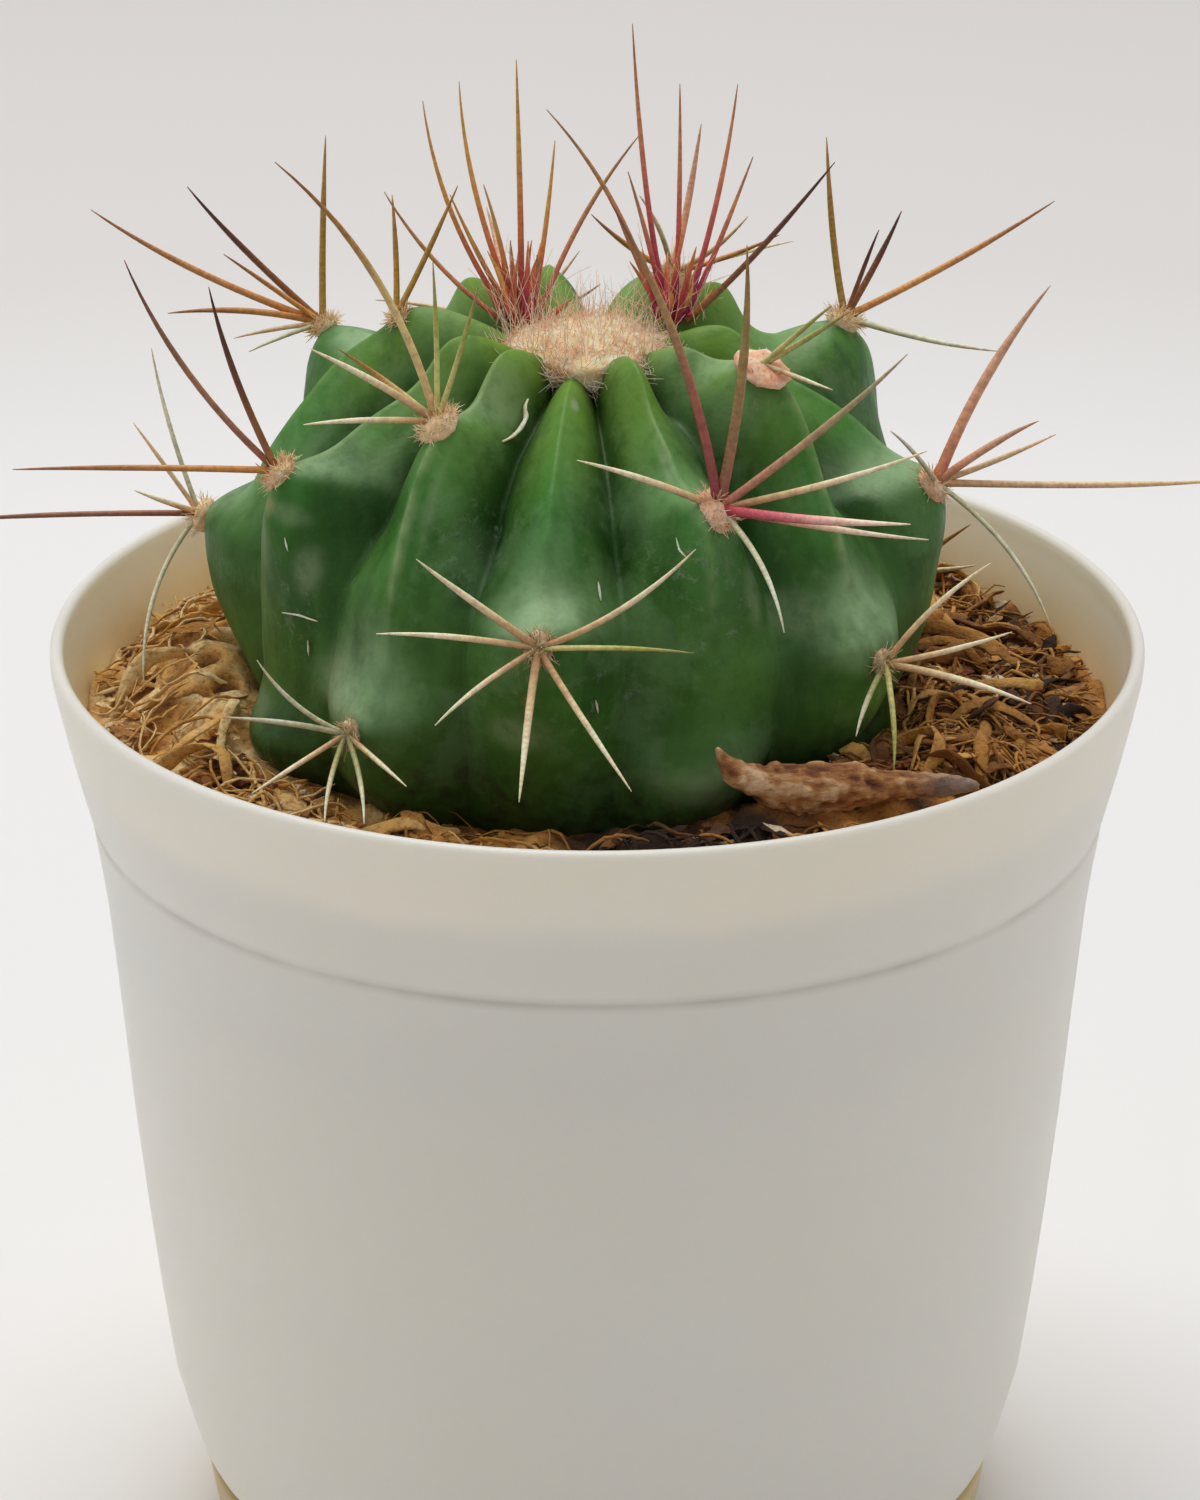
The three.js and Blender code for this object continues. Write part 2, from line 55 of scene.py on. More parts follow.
# Plant: the same form as the solid
PLANT_X = -1.5
WAIST_Z = 117
WAIST_RADIUS = 37
CROWN_RISE = 26
ROOT_DROP = 29
BASE_SHIFT = (-1.5, -2.5, 0)
CROWN_DIMPLE = 2.4
DIMPLE_POLAR = 15
CROWN_RIMS = np.array([1, 4.2, 4, 4, 6, 4.4, 4.4, 5.5, 4, 4.5, 4.8])
CROWN_RIM_POLAR = 17
CROWN_RIM_SPREAD = 8
FLATNESS = 2 / 2.35
RIBS = 11
RIB_STEP = 360 / RIBS
RIB_DEPTH = 7
RIB_ROUNDNESS = 0.8
RIB_KEENNESS = 0.7
KEEN_FROM = (8, 30)  # polar angles over which the ribs' flanks turn flat
KEEN_UNTIL = (58, 82)  # and round again
VALLEY_FADE = 0.7
FADE_BAND = (56, 90)
VALLEY_POWER = 0.6
FRONT_RIB = -6.3
FRONT_CROWDING = 10
BURIED_POLAR = 112
BURIED_SPAN = 28
LEAN_BAND = (90, 125)  # over which the base's shift grows
SWELLING = 4
SHELF = 6.5
FLANK = 20
SWELLING_WIDTH = 14
SWELLING_POWER = 0.35
SPIRAL_RIBS = 3
FIRST_RIB = -1
SPIRAL = range(-6, 15)  # the areoles' numbers, from under the soil to the crown
FIRST_POLAR = 97
POLAR_STEP = 5.2
SOIL_LINE_LIFT = 6
PAD = (2.1, 2.7, 1.5)

# Only on the skin: narrow grooves in the valleys, keels on the ribs, and dents
GROOVE_DEPTH = 1.0
GROOVE_WIDTH = 2.6
KEEL_HEIGHT = 0.4
KEEL_WIDTH = 1.3
DENT_DEPTH = 0.45
SKIN_COLUMNS_PER_RIB = 34
SKIN_ROWS = 190
SKIN_END = 126  # polar angle of the last close row
BURIED_ROWS = [132, 140, 150, 160, 170]
DENT_SIZE = 11
RIPPLE_DEPTH = 0.12
RIPPLE_SIZE = 3.6
NEAR_AREOLE = (7, 6)  # degrees across and along over which a keel ends at an areole

# Spine colours from root to tip
HORN = {
    "cream": ("a87c4c", "dabc8c", "f2e2be", "e8d6b0"),
    "pink": ("c07860", "e4b490", "f4dcc0", "e6d3b0"),
    "rose": ("a8283e", "cc646c", "f0c4b0", "f2e0c0"),
    "rosy_tan": ("b8705c", "b48c6c", "a09468", "a89c80"),
    "straw": ("dcbc80", "e0c888", "a87c34", "7a5e34"),
    "lime": ("d0c47c", "c2c078", "a0a24e", "7e864b"),
    "green": ("8e8d56", "a9aa70", "dcd8b4", "e0dac0"),
    "pale": ("b7b18a", "c4c4a0", "d3d2b8", "bbb896"),
    "gold": ("b08c40", "a88028", "a07a2c", "a08040"),
    "orange": ("c4863a", "ca8e4c", "aa763e", "84603e"),
    "dark": ("9c6630", "804c22", "582e12", "40220e"),
    "umber": ("94543c", "98684a", "805838", "503828"),
    "tan": ("c89a6c", "d8b88e", "d8ba8c", "dcc29a"),
    "coral": ("bc7050", "d49a78", "c89c7c", "a88a6c"),
    "ruddy": ("943840", "a8604a", "b09058", "70381f"),
    "olive": ("985448", "a07c50", "9c8448", "806a3c"),
    "crimson": ("b42a56", "cc7440", "cc9e48", "b48c3c"),
    "ruby": ("941c4c", "b83450", "cc6c48", "cc9044"),
    "magenta": ("a02462", "c45250", "c8885a", "94703c"),
    "salmon": ("bc5c60", "c8845c", "b08452", "907448"),
}

# By number on the spiral: how far the areole stands aside of its rib and from the crown, and its spines
# as (clock angle from upwards, lean to the front, length, root radius, bow, colour)
FRONT_AREOLES = {
    0: dict(aside=-3.5, shift=1.5, spines=[
        (-82, 15, 13, 0.5, 0.3, "pale"), (-123, 28, 13, 0.45, 0, "cream"),
        (-168, 34, 11.5, 0.45, 0.4, "green"), (167, 36, 12, 0.45, -0.5, "green"),
        (130, 35, 10.5, 0.45, 0, "cream"), (-50, 15, 12.5, 0.4, -1, "pale"),
    ]),
    1: dict(shift=-0.8, spines=[
        (46, 10, 15.5, 0.5, -0.8, "cream"), (76, 14, 14, 0.5, 0.3, "cream"),
        (106, 18, 16.5, 0.65, -0.4, "cream"), (177, 22, 12.5, 0.5, -0.3, "lime"),
        (-157, 20, 9, 0.5, 0.3, "green"),
    ]),
    3: dict(aside=-4.3, shift=4.8, swelling=5.5, spines=[
        (-92, 4, 29.5, 0.5, 0.3, "umber"), (-71, 20, 8, 0.5, 0, "cream"),
        (-16, 5, 19, 0.4, -0.4, "pale"), (-36, 8, 12.5, 0.4, 0, "tan"),
        (-163, 12, 20.5, 0.4, 2, "pale"),
    ]),
    4: dict(shift=4.1, spines=[
        (-54, 14, 16, 0.65, 0, "cream"), (-85, 10, 17, 0.55, 0.3, "cream"),
        (-127, 18, 14, 0.5, 0.4, "cream"), (-173, 20, 17, 0.7, 0.2, "cream"),
        (147, 18, 18.5, 0.55, 0.2, "cream"), (92, 14, 16.5, 0.45, -0.2, "lime"),
        (58, 12, 19.5, 0.55, 1.2, "cream"),
    ]),
    5: dict(aside=-3.1, shift=-1.8, spines=[
        (30, 4, 24.5, 0.95, -1, "coral"), (59, 12, 13, 0.7, -0.3, "coral"),
        (68, 0, 14, 0.5, 0.2, "tan"), (89, -4, 34, 0.6, 0.3, "tan"),
        (142, 6, 20, 0.4, -1.5, "pale"), (-48, 58, 14, 0.4, 0.3, "pale"),
    ]),
    7: dict(aside=-1, shift=-1.6, spines=[
        (-36, 4, 27.5, 0.55, -1.5, "umber"), (-20, 14, 21, 0.6, -0.6, "dark"),
        (-90, 4, 28, 0.55, 0.2, "orange"),
    ]),
    8: dict(aside=3.6, shift=-0.8, spines=[
        (-20, 14, 34.5, 0.8, 1.6, "ruddy"), (6, 8, 27.5, 0.9, 0.8, "olive"),
        (51, 18, 26, 0.7, 0.3, "rosy_tan"), (75, 16, 23, 0.6, 0.4, "cream"),
        (96, 30, 22.5, 0.85, 0.4, "rose"), (99, 14, 22.5, 0.6, 0.2, "pink"),
        (-72, 20, 16.5, 0.6, 0.4, "cream"), (153, 24, 16, 0.5, -1.2, "pale"),
    ]),
    9: dict(shift=-5.3, swelling=6.3, spines=[
        (-6, 2, 20, 0.6, -0.5, "gold"), (28, -4, 13.5, 0.6, 0.2, "dark"),
        (21, 14, 10.5, 0.4, 0, "dark"), (61, 0, 26.5, 0.6, 0.4, "orange"),
        (103, 6, 17.5, 0.5, 0.4, "pale"),
    ]),
    10: dict(shift=11.3, swelling=7, spines=[
        (-64, 0, 29, 0.65, -0.8, "orange"), (-45, 6, 21.5, 0.6, -0.3, "dark"),
        (-56, 20, 14, 0.45, 0, "orange"), (1, 4, 21, 0.6, -0.2, "gold"),
        (-87, 8, 17.5, 0.6, 0.8, "orange"), (-101, 16, 10.5, 0.4, 0.2, "tan"),
        (-113, 20, 9.5, 0.4, 0.2, "pale"),
    ]),
    11: dict(aside=-1.9, shift=-3.4, spines=[
        (-32, 10, 32, 0.65, 2.4, "straw"), (-61, 26, 16.5, 0.65, 0.4, "cream"),
        (-54, 14, 13, 0.5, 0.2, "straw"), (-93, 28, 15.5, 0.55, 0.3, "cream"),
        (-1, 14, 17, 0.45, 0.2, "lime"), (18, 20, 15.5, 0.45, 0.2, "lime"),
    ]),
    12: dict(aside=-1.3, shift=-4.9, swelling=9, spines=[
        (60, 20, 11, 0.5, 0.2, "lime"), (51, 28, 10.5, 0.45, 0, "lime"),
        (113, 34, 9.5, 0.4, 0, "cream"),
    ]),
    14: dict(aside=0.7, shift=-0.2, spines=[
        (-2, 2, 13, 0.5, 0.2, "gold"), (26, 8, 15.5, 0.5, 0.2, "gold"),
    ]),
}
BACK_AREOLES = (-2, -1, 2, 6, 13)
LOW_BACK_SPINES = 5
BACK_SPINES = 7
YOUNG_SWELLING = (207, 24, 4)

SPINE_GAIN = 1.55  # the spines' colours are this much brighter than in HORN
SPINE_RING_STEP = 0.6
TIP_ROOM = 0.15  # the spines end this much short of the solids'
SLIMNESS = 0.58  # radius of a spine against the solid's, which stays sturdy
SPINE_WOBBLE = 0.012  # of its length
SPINE_TAPER = 0.35
TIP_SHARE = 0.4  # of its length, over which a spine narrows to its tip
TIP_RADIUS = 0.05
ROOT_FLARE = 1.2
FLAT_FROM = 0.6  # thicker spines are flattened
# Painted shade: the spines' colours are darker on their undersides, away from the light
UNDERSIDE_SHADE = 0.28  # darker on their undersides by up to twice this
HAIR_RADIUS = 0.07

# Crown tufts: azimuth, polar angle, spines
CROWN_TUFTS = {
    "crown_spines_left": (-124, 9.5, [
        (-22, 4, 26, 0.5, -1.6, "crimson"), (-14, 8, 27, 0.55, -1, "crimson"),
        (-1, 4, 28.5, 0.6, 0.2, "crimson"), (8, 10, 20.5, 0.5, 0.3, "crimson"),
        (-13, 16, 16, 0.5, 0.3, "crimson"), (-28, 10, 16, 0.5, -0.3, "crimson"),
        (29, 0, 23.5, 0.5, -1, "salmon"), (-43, 12, 19.5, 0.45, -1, "salmon"),
    ]),
    "crown_spines_right": (109, 12, [
        (-7, 4, 32.5, 0.55, -0.8, "magenta"), (1, 10, 25.5, 0.5, 0.2, "magenta"),
        (13, 4, 26.5, 0.55, 0.6, "magenta"), (23, 12, 19, 0.5, 0.3, "magenta"),
        (-15, 16, 17, 0.5, 0.2, "magenta"), (-23, 10, 15.5, 0.45, 0, "salmon"),
        (-29, 12, 26, 0.5, 1.4, "salmon"), (43, 0, 24, 0.6, 0.6, "dark"),
    ]),
}
TUFT_PAD = (2.2, 2.2, 2.4)
CROWN_WOOL = (10, 9, 3.4)
CROWN_WOOL_AT = (-1, -1.6, 141.8)

# Soil
SOIL_Z = 99.9
MOUNDS = [(-98, 43, 6.5, 36, 8), (38, 44, 6, 40, 9)]  # azimuth, radius, height, spread in degrees, width
SOIL_WALL_RADIUS = 56.4
SOIL_BOTTOM_Z = 94
BARK_FROM = (14.5, -40.2, 107.4)
BARK_TO = (39, -36, 106)
BARK_RADIUS = 2.6

# Pot and dish, as [radius, height]
RIM_Z = 109
RIM_RADIUS = 60
LIP_RADIUS = 0.75
GROOVE_Z = 90
POT_OUTSIDE = [
    (43.4, 10.2), (44.6, 10.4), (45.6, 11.2), (46.2, 12.4), (47, 14.9), (48.8, 22), (50.1, 32), (51.2, 42),
    (52.4, 54), (53.4, 66), (54.1, 74), (54.6, 79.5), (55.2, 84), (55.75, 87.6), (55.95, 89), (56, 89.5),
    (55.95, 90), (56.1, 90.5), (56.4, 91.2), (57.1, 94), (58.1, 98), (59.1, 102.6), (59.9, 106.6),
    (60, 107.6),
]
POT_INSIDE = [
    (58.4, 107.4), (58.1, 106), (57.6, 104), (57, 101), (56.4, 98), (55.8, 95.4), (54.6, 90), (52.3, 72),
    (49.6, 42), (47, 21), (45, 15), (41.8, 11.6),
]
POT_FOOT = [(0, 2.7), (41.2, 2.7), (41.8, 3.3)]
POT_FLOOR = [(40, 5.1), (39.4, 4.7), (0, 4.7)]
DISH = [
    (0, 0), (43.2, 0), (43.6, 0.25), (43.8, 0.7), (44.3, 3.2), (44.8, 6.2), (45.25, 9.1), (45.15, 9.6),
    (44.8, 9.9), (43.9, 9.9), (43.6, 9.6), (42.6, 3.2), (42.3, 2.6), (41.9, 2.4), (0, 2.4),
]
ROUND_SEGMENTS = 180


# Colours and random numbers


def linear(hex_colour):
    """The linear colour of an sRGB hex string."""
    values = [int(hex_colour[i:i + 2], 16) / 255 for i in (0, 2, 4)]
    return np.array([v / 12.92 if v < 0.04045 else ((v + 0.055) / 1.055) ** 2.4 for v in values])


def smoothstep(x, low, high):
    t = np.clip((np.asarray(x, float) - low) / (high - low), 0, 1)
    return t * t * (3 - 2 * t)


def bell(first, second=0):
    """1 at the middle, falling off smoothly with one or two distances given as shares of a width."""
    return np.exp(-first ** 2 - second ** 2)


def wrapped(angle):
    return (np.asarray(angle) + 180) % 360 - 180


def in_plane(x, y):
    """Points in a plane, for noise that is the same at every height."""
    return np.stack([x, y, 0 * x], -1)


def lattice(i, j, k, seed):
    """A repeatable number from 0 to 1 for each lattice point."""
    n = (i * 374761393 + j * 668265263 + k * 2147483647 + seed * 974711) & 0xFFFFFFFF
    n = ((n ^ (n >> 13)) * 1274126177) & 0xFFFFFFFF
    return ((n ^ (n >> 16)) & 0xFFFF) / 65535


def noise(points, size, seed):
    """Smooth noise from -1 to 1 with features of the given size, at points in an array of any shape."""
    p = np.asarray(points, float) / size
    cell = np.floor(p).astype(np.int64)
    f = p - cell
    f = f * f * (3 - 2 * f)
    total = 0
    for corner in range(8):
        offset = np.array([corner & 1, corner >> 1 & 1, corner >> 2 & 1])
        weight = np.prod(np.where(offset, f, 1 - f), axis=-1)
        total = total + weight * lattice(*np.moveaxis(cell + offset, -1, 0), seed)
    return 2 * total - 1


def unit(v):
    v = np.asarray(v, float)
    return v / np.maximum(np.linalg.norm(v, axis=-1, keepdims=True), 1e-12)


# Meshes


def new_object(name, data):
    thing = bpy.data.objects.new(name, data)
    bpy.context.scene.collection.objects.link(thing)
    return thing


class Builder:
    """Collects points, faces and values at the points, and makes one mesh of them."""

    def __init__(self):
        self.points, self.faces, self.values = [], [], []
        self.count = 0

    def add(self, points, faces, **values):
        points = np.asarray(points, float)
        self.points.append(points)
        self.faces.extend([tuple(i + self.count for i in face) for face in faces])
        self.values.append({name: np.broadcast_to(v, (len(points), np.shape(v)[-1] if np.ndim(v) else 1))
                            for name, v in values.items()})
        self.count += len(points)

    def build(self, name, material, smooth=True):
        mesh = bpy.data.meshes.new(name)
        mesh.from_pydata(np.concatenate(self.points) * MM, [], self.faces)
        for key in self.values[0]:
            data = np.concatenate([v[key] for v in self.values]).astype(np.float32)
            if data.shape[1] == 1:
                mesh.attributes.new(key, "FLOAT", "POINT").data.foreach_set("value", data.ravel())
            else:
                rgba = np.ones((len(data), 4), np.float32)
                rgba[:, :3] = data
                mesh.attributes.new(key, "FLOAT_COLOR", "POINT").data.foreach_set("color", rgba.ravel())
        mesh.materials.append(material)
        mesh.polygons.foreach_set("use_smooth", [smooth] * len(mesh.polygons))
        mesh.validate()
        piece = new_object(name, mesh)
        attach(piece, "root")
        return piece


def tube_faces(rings, sides):
    """Faces of a tube of rings with a closing point at either end, which come after the rings."""
    faces = []
    for r in range(rings - 1):
        for s in range(sides):
            a, b = r * sides + s, r * sides + (s + 1) % sides
            faces.append((a, b, b + sides, a + sides))
    start, end, last = rings * sides, rings * sides + 1, (rings - 1) * sides
    for s in range(sides):
        faces.append((start, (s + 1) % sides, s))
        faces.append((end, last + s, last + (s + 1) % sides))
    return faces


FACES_OF_TUBE = {}


def tube(path, radii, sides, across=None, flat=1.0):
    """Points and faces of a tube along a path, a little flattened along one direction if asked."""
    path = np.asarray(path, float)
    tangents = unit(np.gradient(path, axis=0))
    if across is None:
        across = np.cross(tangents[0], UP if abs(tangents[0][2]) < 0.9 else [1, 0, 0])
    aside = unit(across - tangents * (tangents @ np.asarray(across))[:, None])
    third = np.cross(tangents, aside)
    angles = np.arange(sides) * 2 * math.pi / sides
    ring = aside[:, None] * np.cos(angles)[:, None] + third[:, None] * (flat * np.sin(angles)[:, None])
    points = (path[:, None] + ring * np.asarray(radii)[:, None, None]).reshape(-1, 3)
    ends = [path[:1] - tangents[:1] * radii[0] * 0.3, path[-1:] + tangents[-1:] * radii[-1]]
    points = np.concatenate([points, *ends])
    key = (len(path), sides)
    if key not in FACES_OF_TUBE:
        FACES_OF_TUBE[key] = tube_faces(*key)
    return points, FACES_OF_TUBE[key]


def lathe(name, outline, material, slot, **values):
    """A closed body of revolution from an outline that starts and ends on the axis, with values along it."""
    outline = np.array(outline, float)
    ring = outline[1:-1]
    angles = np.arange(ROUND_SEGMENTS) * 2 * math.pi / ROUND_SEGMENTS
    around = np.stack([np.cos(angles), np.sin(angles)], -1)
    sides = [ring[:, None, :1] * around[None], np.repeat(ring[:, None, 1:], ROUND_SEGMENTS, 1)]
    ends = [[0, 0, outline[0, 1]], [0, 0, outline[-1, 1]]]
    points = np.concatenate([np.concatenate(sides, -1).reshape(-1, 3), ends])
    spread = {key: np.concatenate([np.repeat(v[1:-1], ROUND_SEGMENTS), v[[0, -1]]])[:, None]
              for key, v in values.items()}
    builder = Builder()
    builder.add(points, tube_faces(len(ring), ROUND_SEGMENTS), **spread)
    return builder.build(name, material)


def round_tube(values, sides):
    """Values at the points of a tube, from those of its rings."""
    return np.concatenate([np.repeat(values, sides, 0), values[:1], values[-1:]])


def soften(values, times):
    """Smooths a row of values in place, but for its ends."""
    for _ in range(times):
        values[1:-1] = (values[:-2] + 2 * values[1:-1] + values[2:]) / 4


# Material helpers


class Shader:
    """A material with a Principled BSDF, and short ways to make its nodes."""

    def __init__(self, name, **inputs):
        self.material = bpy.data.materials.new(name)
        self.material.use_nodes = True
        self.tree = self.material.node_tree
        self.bsdf = self.tree.nodes["Principled BSDF"]
        for key, value in inputs.items():
            self.bsdf.inputs[key.replace("_", " ").title().replace("Ior", "IOR")].default_value = value
        self.place = self.node("ShaderNodeTexCoord").outputs["Object"]

    def node(self, kind, **settings):
        node = self.tree.nodes.new(kind)
        for key, value in settings.items():
            setattr(node, key, value)
        return node

    def put(self, value, socket):
        """Gives a socket a number, a hex colour or the output of a node."""
        if isinstance(value, str):
            socket.default_value = (*linear(value), 1)
        elif isinstance(value, (int, float)):
            socket.default_value = value
        else:
            self.tree.links.new(value, socket)

    def value(self, name):
        return self.node("ShaderNodeAttribute", attribute_name=name).outputs["Fac"]

    def colour(self, name):
        return self.node("ShaderNodeAttribute", attribute_name=name).outputs["Color"]

    def noise(self, size, detail=4, stretch=(1, 1, 1), rough=0.55):
        """Noise with features of about the given size in millimetres."""
        mapping = self.node("ShaderNodeMapping")
        mapping.inputs["Scale"].default_value = stretch
        self.put(self.place, mapping.inputs["Vector"])
        node = self.node("ShaderNodeTexNoise")
        node.inputs["Scale"].default_value = 1000 / size
        node.inputs["Detail"].default_value = detail
        node.inputs["Roughness"].default_value = rough
        self.put(mapping.outputs["Vector"], node.inputs["Vector"])
        return node.outputs["Fac"]

    def cells(self, size):
        """Distance from the middles of scattered cells of about the given size in millimetres."""
        node = self.node("ShaderNodeTexVoronoi", feature="F1")
        node.inputs["Scale"].default_value = 1000 / size
        self.put(self.place, node.inputs["Vector"])
        return node.outputs["Distance"]

    def ramp(self, source, *stops, colour=False):
        """A curve from (position, number) stops, or (position, hex colour) ones with colour=True."""
        node = self.node("ShaderNodeValToRGB")
        elements = node.color_ramp.elements
        while len(elements) < len(stops):
            elements.new(0.5)
        for element, (position, value) in zip(elements, stops):
            element.position = position
            element.color = (*linear(value), 1) if colour else (value, value, value, 1)
        self.put(source, node.inputs["Fac"])
        return node.outputs["Color"]

    def mix(self, amount, a, b, mode="MIX"):
        """Mixes two colours, each a socket or a hex string."""
        node = self.node("ShaderNodeMix", data_type="RGBA", blend_type=mode)
        for value, index in ((amount, 0), (a, 6), (b, 7)):
            self.put(value, node.inputs[index])
        return node.outputs[2]

    def math(self, kind, a, b=0.0):
        node = self.node("ShaderNodeMath", operation=kind)
        self.put(a, node.inputs[0])
        self.put(b, node.inputs[1])
        return node.outputs[0]

    def times(self, a, b):
        return self.math("MULTIPLY", a, b)

    def set(self, name, source):
        self.put(source, self.bsdf.inputs[name])

    def bump(self, *layers):
        """Bumps from (height socket, depth in millimetres) layers."""
        normal = None
        for height, depth in layers:
            node = self.node("ShaderNodeBump")
            node.inputs["Distance"].default_value = depth * MM
            self.put(height, node.inputs["Height"])
            if normal is not None:
                self.put(normal, node.inputs["Normal"])
            normal = node.outputs["Normal"]
        self.put(normal, self.bsdf.inputs["Normal"])


def skin_material():
    s = Shader("cactus_skin", roughness=0.45, subsurface_weight=0.08, subsurface_scale=0.0015,
               specular_ior_level=0.18)
    s.bsdf.inputs["Subsurface Radius"].default_value = (0.6, 1.0, 0.2)
    base = s.ramp(s.noise(13, 5), (0.3, "30561c"), (0.5, "426e28"), (0.7, "588838"), colour=True)
    fine = s.noise(1.8, 4)
    bloom_and_highlight = s.times(s.value("bloom_and_highlight"), s.ramp(s.noise(5, 5, rough=0.65), (0.28, 0.6), (0.6, 1.0)))
    corky = s.ramp(s.noise(2.6, 6, stretch=(1, 1, 0.4), rough=0.75), (0.56, 0.0), (0.68, 0.75))
    warts = s.times(s.value("warty"), s.ramp(s.noise(1.5, 5, rough=0.7), (0.54, 0.0), (0.64, 1.0)))
    layers = [  # each colour lies over those before it, as strongly as its amount says
        (s.times(s.value("back"), 0.55), "3f8e36"),
        (s.times(s.value("young"), 0.8), "82a840"),
        # painted shade: the valleys between the ribs are darkened
        (s.times(s.value("valley_shade"), 0.8), "123210"),
        # waxy bloom, partly a painted highlight on the tops of the swellings above the areoles
        (bloom_and_highlight, "b2cfa0"),
        (s.ramp(s.noise(5, 3, stretch=(1, 1, 0.22)), (0.42, 0.0), (0.66, 0.3)), "5f8c50"),  # pale streaks
        (s.ramp(s.noise(6, 4, stretch=(1, 1, 0.16)), (0.34, 0.5), (0.5, 0.0)), "204a16"),  # dark streaks
        (s.ramp(s.noise(12, 6, rough=0.65), (0.5, 0.0), (0.56, 0.16), (0.75, 0.26)), "86a878"),  # veils
        # pale crest line, partly a painted highlight along the rib's edge
        (s.times(s.value("pale_crest_and_highlight"), s.ramp(s.noise(3.5, 4), (0.35, 0.2), (0.65, 0.8))), "a9bd84"),
        (s.times(s.value("old"), s.ramp(fine, (0.35, 0.25), (0.7, 0.9))), "2a2f18"),
        (s.times(s.value("scar"), corky), "a99a5e"),
        # rubbed spots, and one painted highlight on the ribs left of the crown
        (s.times(s.value("worn_and_highlight"), s.ramp(fine, (0.3, 0.6), (0.6, 1.0))), "9cae84"),
        (s.times(warts, 0.45), "86a07a"),
        (s.ramp(fine, (0.3, 0.2), (0.5, 0.0)), "1b3a14"),
        (s.ramp(s.cells(0.55), (0.0, 0.22), (0.14, 0.0)), "93ad78"),  # pores
    ]
    for amount, colour in layers:
        base = s.mix(amount, base, colour)
    s.set("Base Color", base)
    s.set("Roughness", s.math("ADD", s.times(bloom_and_highlight, 0.22), s.ramp(s.noise(8, 3), (0.3, 0.34), (0.7, 0.52))))
    s.bump((s.noise(4.2, 3), 0.22), (s.cells(0.5), 0.02), (fine, 0.06), (warts, 0.1))
    return s.material


def horn_material():
    s = Shader("spines", roughness=0.4, subsurface_weight=0.3, subsurface_scale=0.0008)
    streak = s.noise(0.7, 4)
    tint = s.mix(s.ramp(streak, (0.35, 0.28), (0.6, 0.0)), s.colour("tint"), "3a2012", "MULTIPLY")
    tint = s.mix(s.ramp(s.noise(2.4, 3), (0.5, 0.0), (0.75, 0.35)), tint, "f0dcc0", "SOFT_LIGHT")
    s.set("Base Color", tint)
    s.set("Roughness", s.math("ADD", s.times(s.value("wool"), 0.5), 0.4))
    rings = s.math("SINE", s.times(s.value("along"), 2 * math.pi / SPINE_RING_STEP))
    rings = s.times(rings, s.math("SUBTRACT", 1.0, s.value("wool")))
    s.bump((rings, 0.012), (streak, 0.05))
    return s.material


def wool_material():
    s = Shader("crown_wool", roughness=0.95, sheen_weight=0.4, sheen_roughness=0.5, subsurface_weight=0.5,
               subsurface_scale=0.002)
    tint = s.mix(s.ramp(s.noise(1.2, 3), (0.3, 0.2), (0.5, 0.0)), s.colour("tint"), "c89468", "MULTIPLY")
    s.set("Base Color", tint)
    s.bump((s.noise(0.5, 3), 0.1))
    return s.material


def plastic_material():
    s = Shader("pot_plastic", roughness=0.38, subsurface_weight=0.7, subsurface_scale=0.004)
    s.bsdf.inputs["Subsurface Radius"].default_value = (1.0, 0.85, 0.6)
    base = s.ramp(s.noise(60, 3), (0.3, "f0e6d6"), (0.7, "f3ebde"), colour=True)
    base = s.mix(s.ramp(s.noise(2.2, 6, rough=0.7), (0.72, 0.0), (0.8, 0.25)), base, "a59c88")
    # painted warm bounce light: the inside wall below the rim is tinted warmer
    warm_bounce = s.times(s.value("inside"), s.ramp(s.noise(9, 4), (0.3, 0.5), (0.7, 0.85)))
    base = s.mix(warm_bounce, base, "ecd0a2")
    # painted shade: a darker line along the groove round the pot
    seam_shade = s.times(s.value("seam"), s.ramp(s.noise(14, 3), (0.35, 0.15), (0.65, 0.45)))
    base = s.mix(seam_shade, base, "a3a097")
    s.set("Base Color", base)
    s.set("Roughness", s.ramp(s.noise(12, 4), (0.3, 0.34), (0.7, 0.46)))
    s.bump((s.noise(1.1, 3), 0.02), (s.noise(24, 2), 0.25))
    return s.material


def dish_material():
    s = Shader("dish_plastic", roughness=0.3)
    stops = (0.3, "ac9450"), (0.6, "c8ae70"), (0.8, "947628")
    s.set("Base Color", s.ramp(s.noise(16, 4), *stops, colour=True))
    s.bump((s.noise(1.4, 3), 0.03))
    return s.material


def husk_material(name, dark):
    s = Shader(name, roughness=0.85)
    grain = s.noise(1.0, 5, stretch=(1, 1, 1.6), rough=0.7)
    tint = s.mix(s.ramp(grain, (0.3, 0.75), (0.52, 0.0)), s.colour("tint"), dark, "MULTIPLY")
    tint = s.mix(s.ramp(s.noise(3.4, 4), (0.45, 0.0), (0.7, 0.5)), tint, "f6d8a0", "SOFT_LIGHT")
    s.set("Base Color", tint)
    s.bump((grain, 0.45), (s.noise(0.4, 3), 0.12))
    return s.material


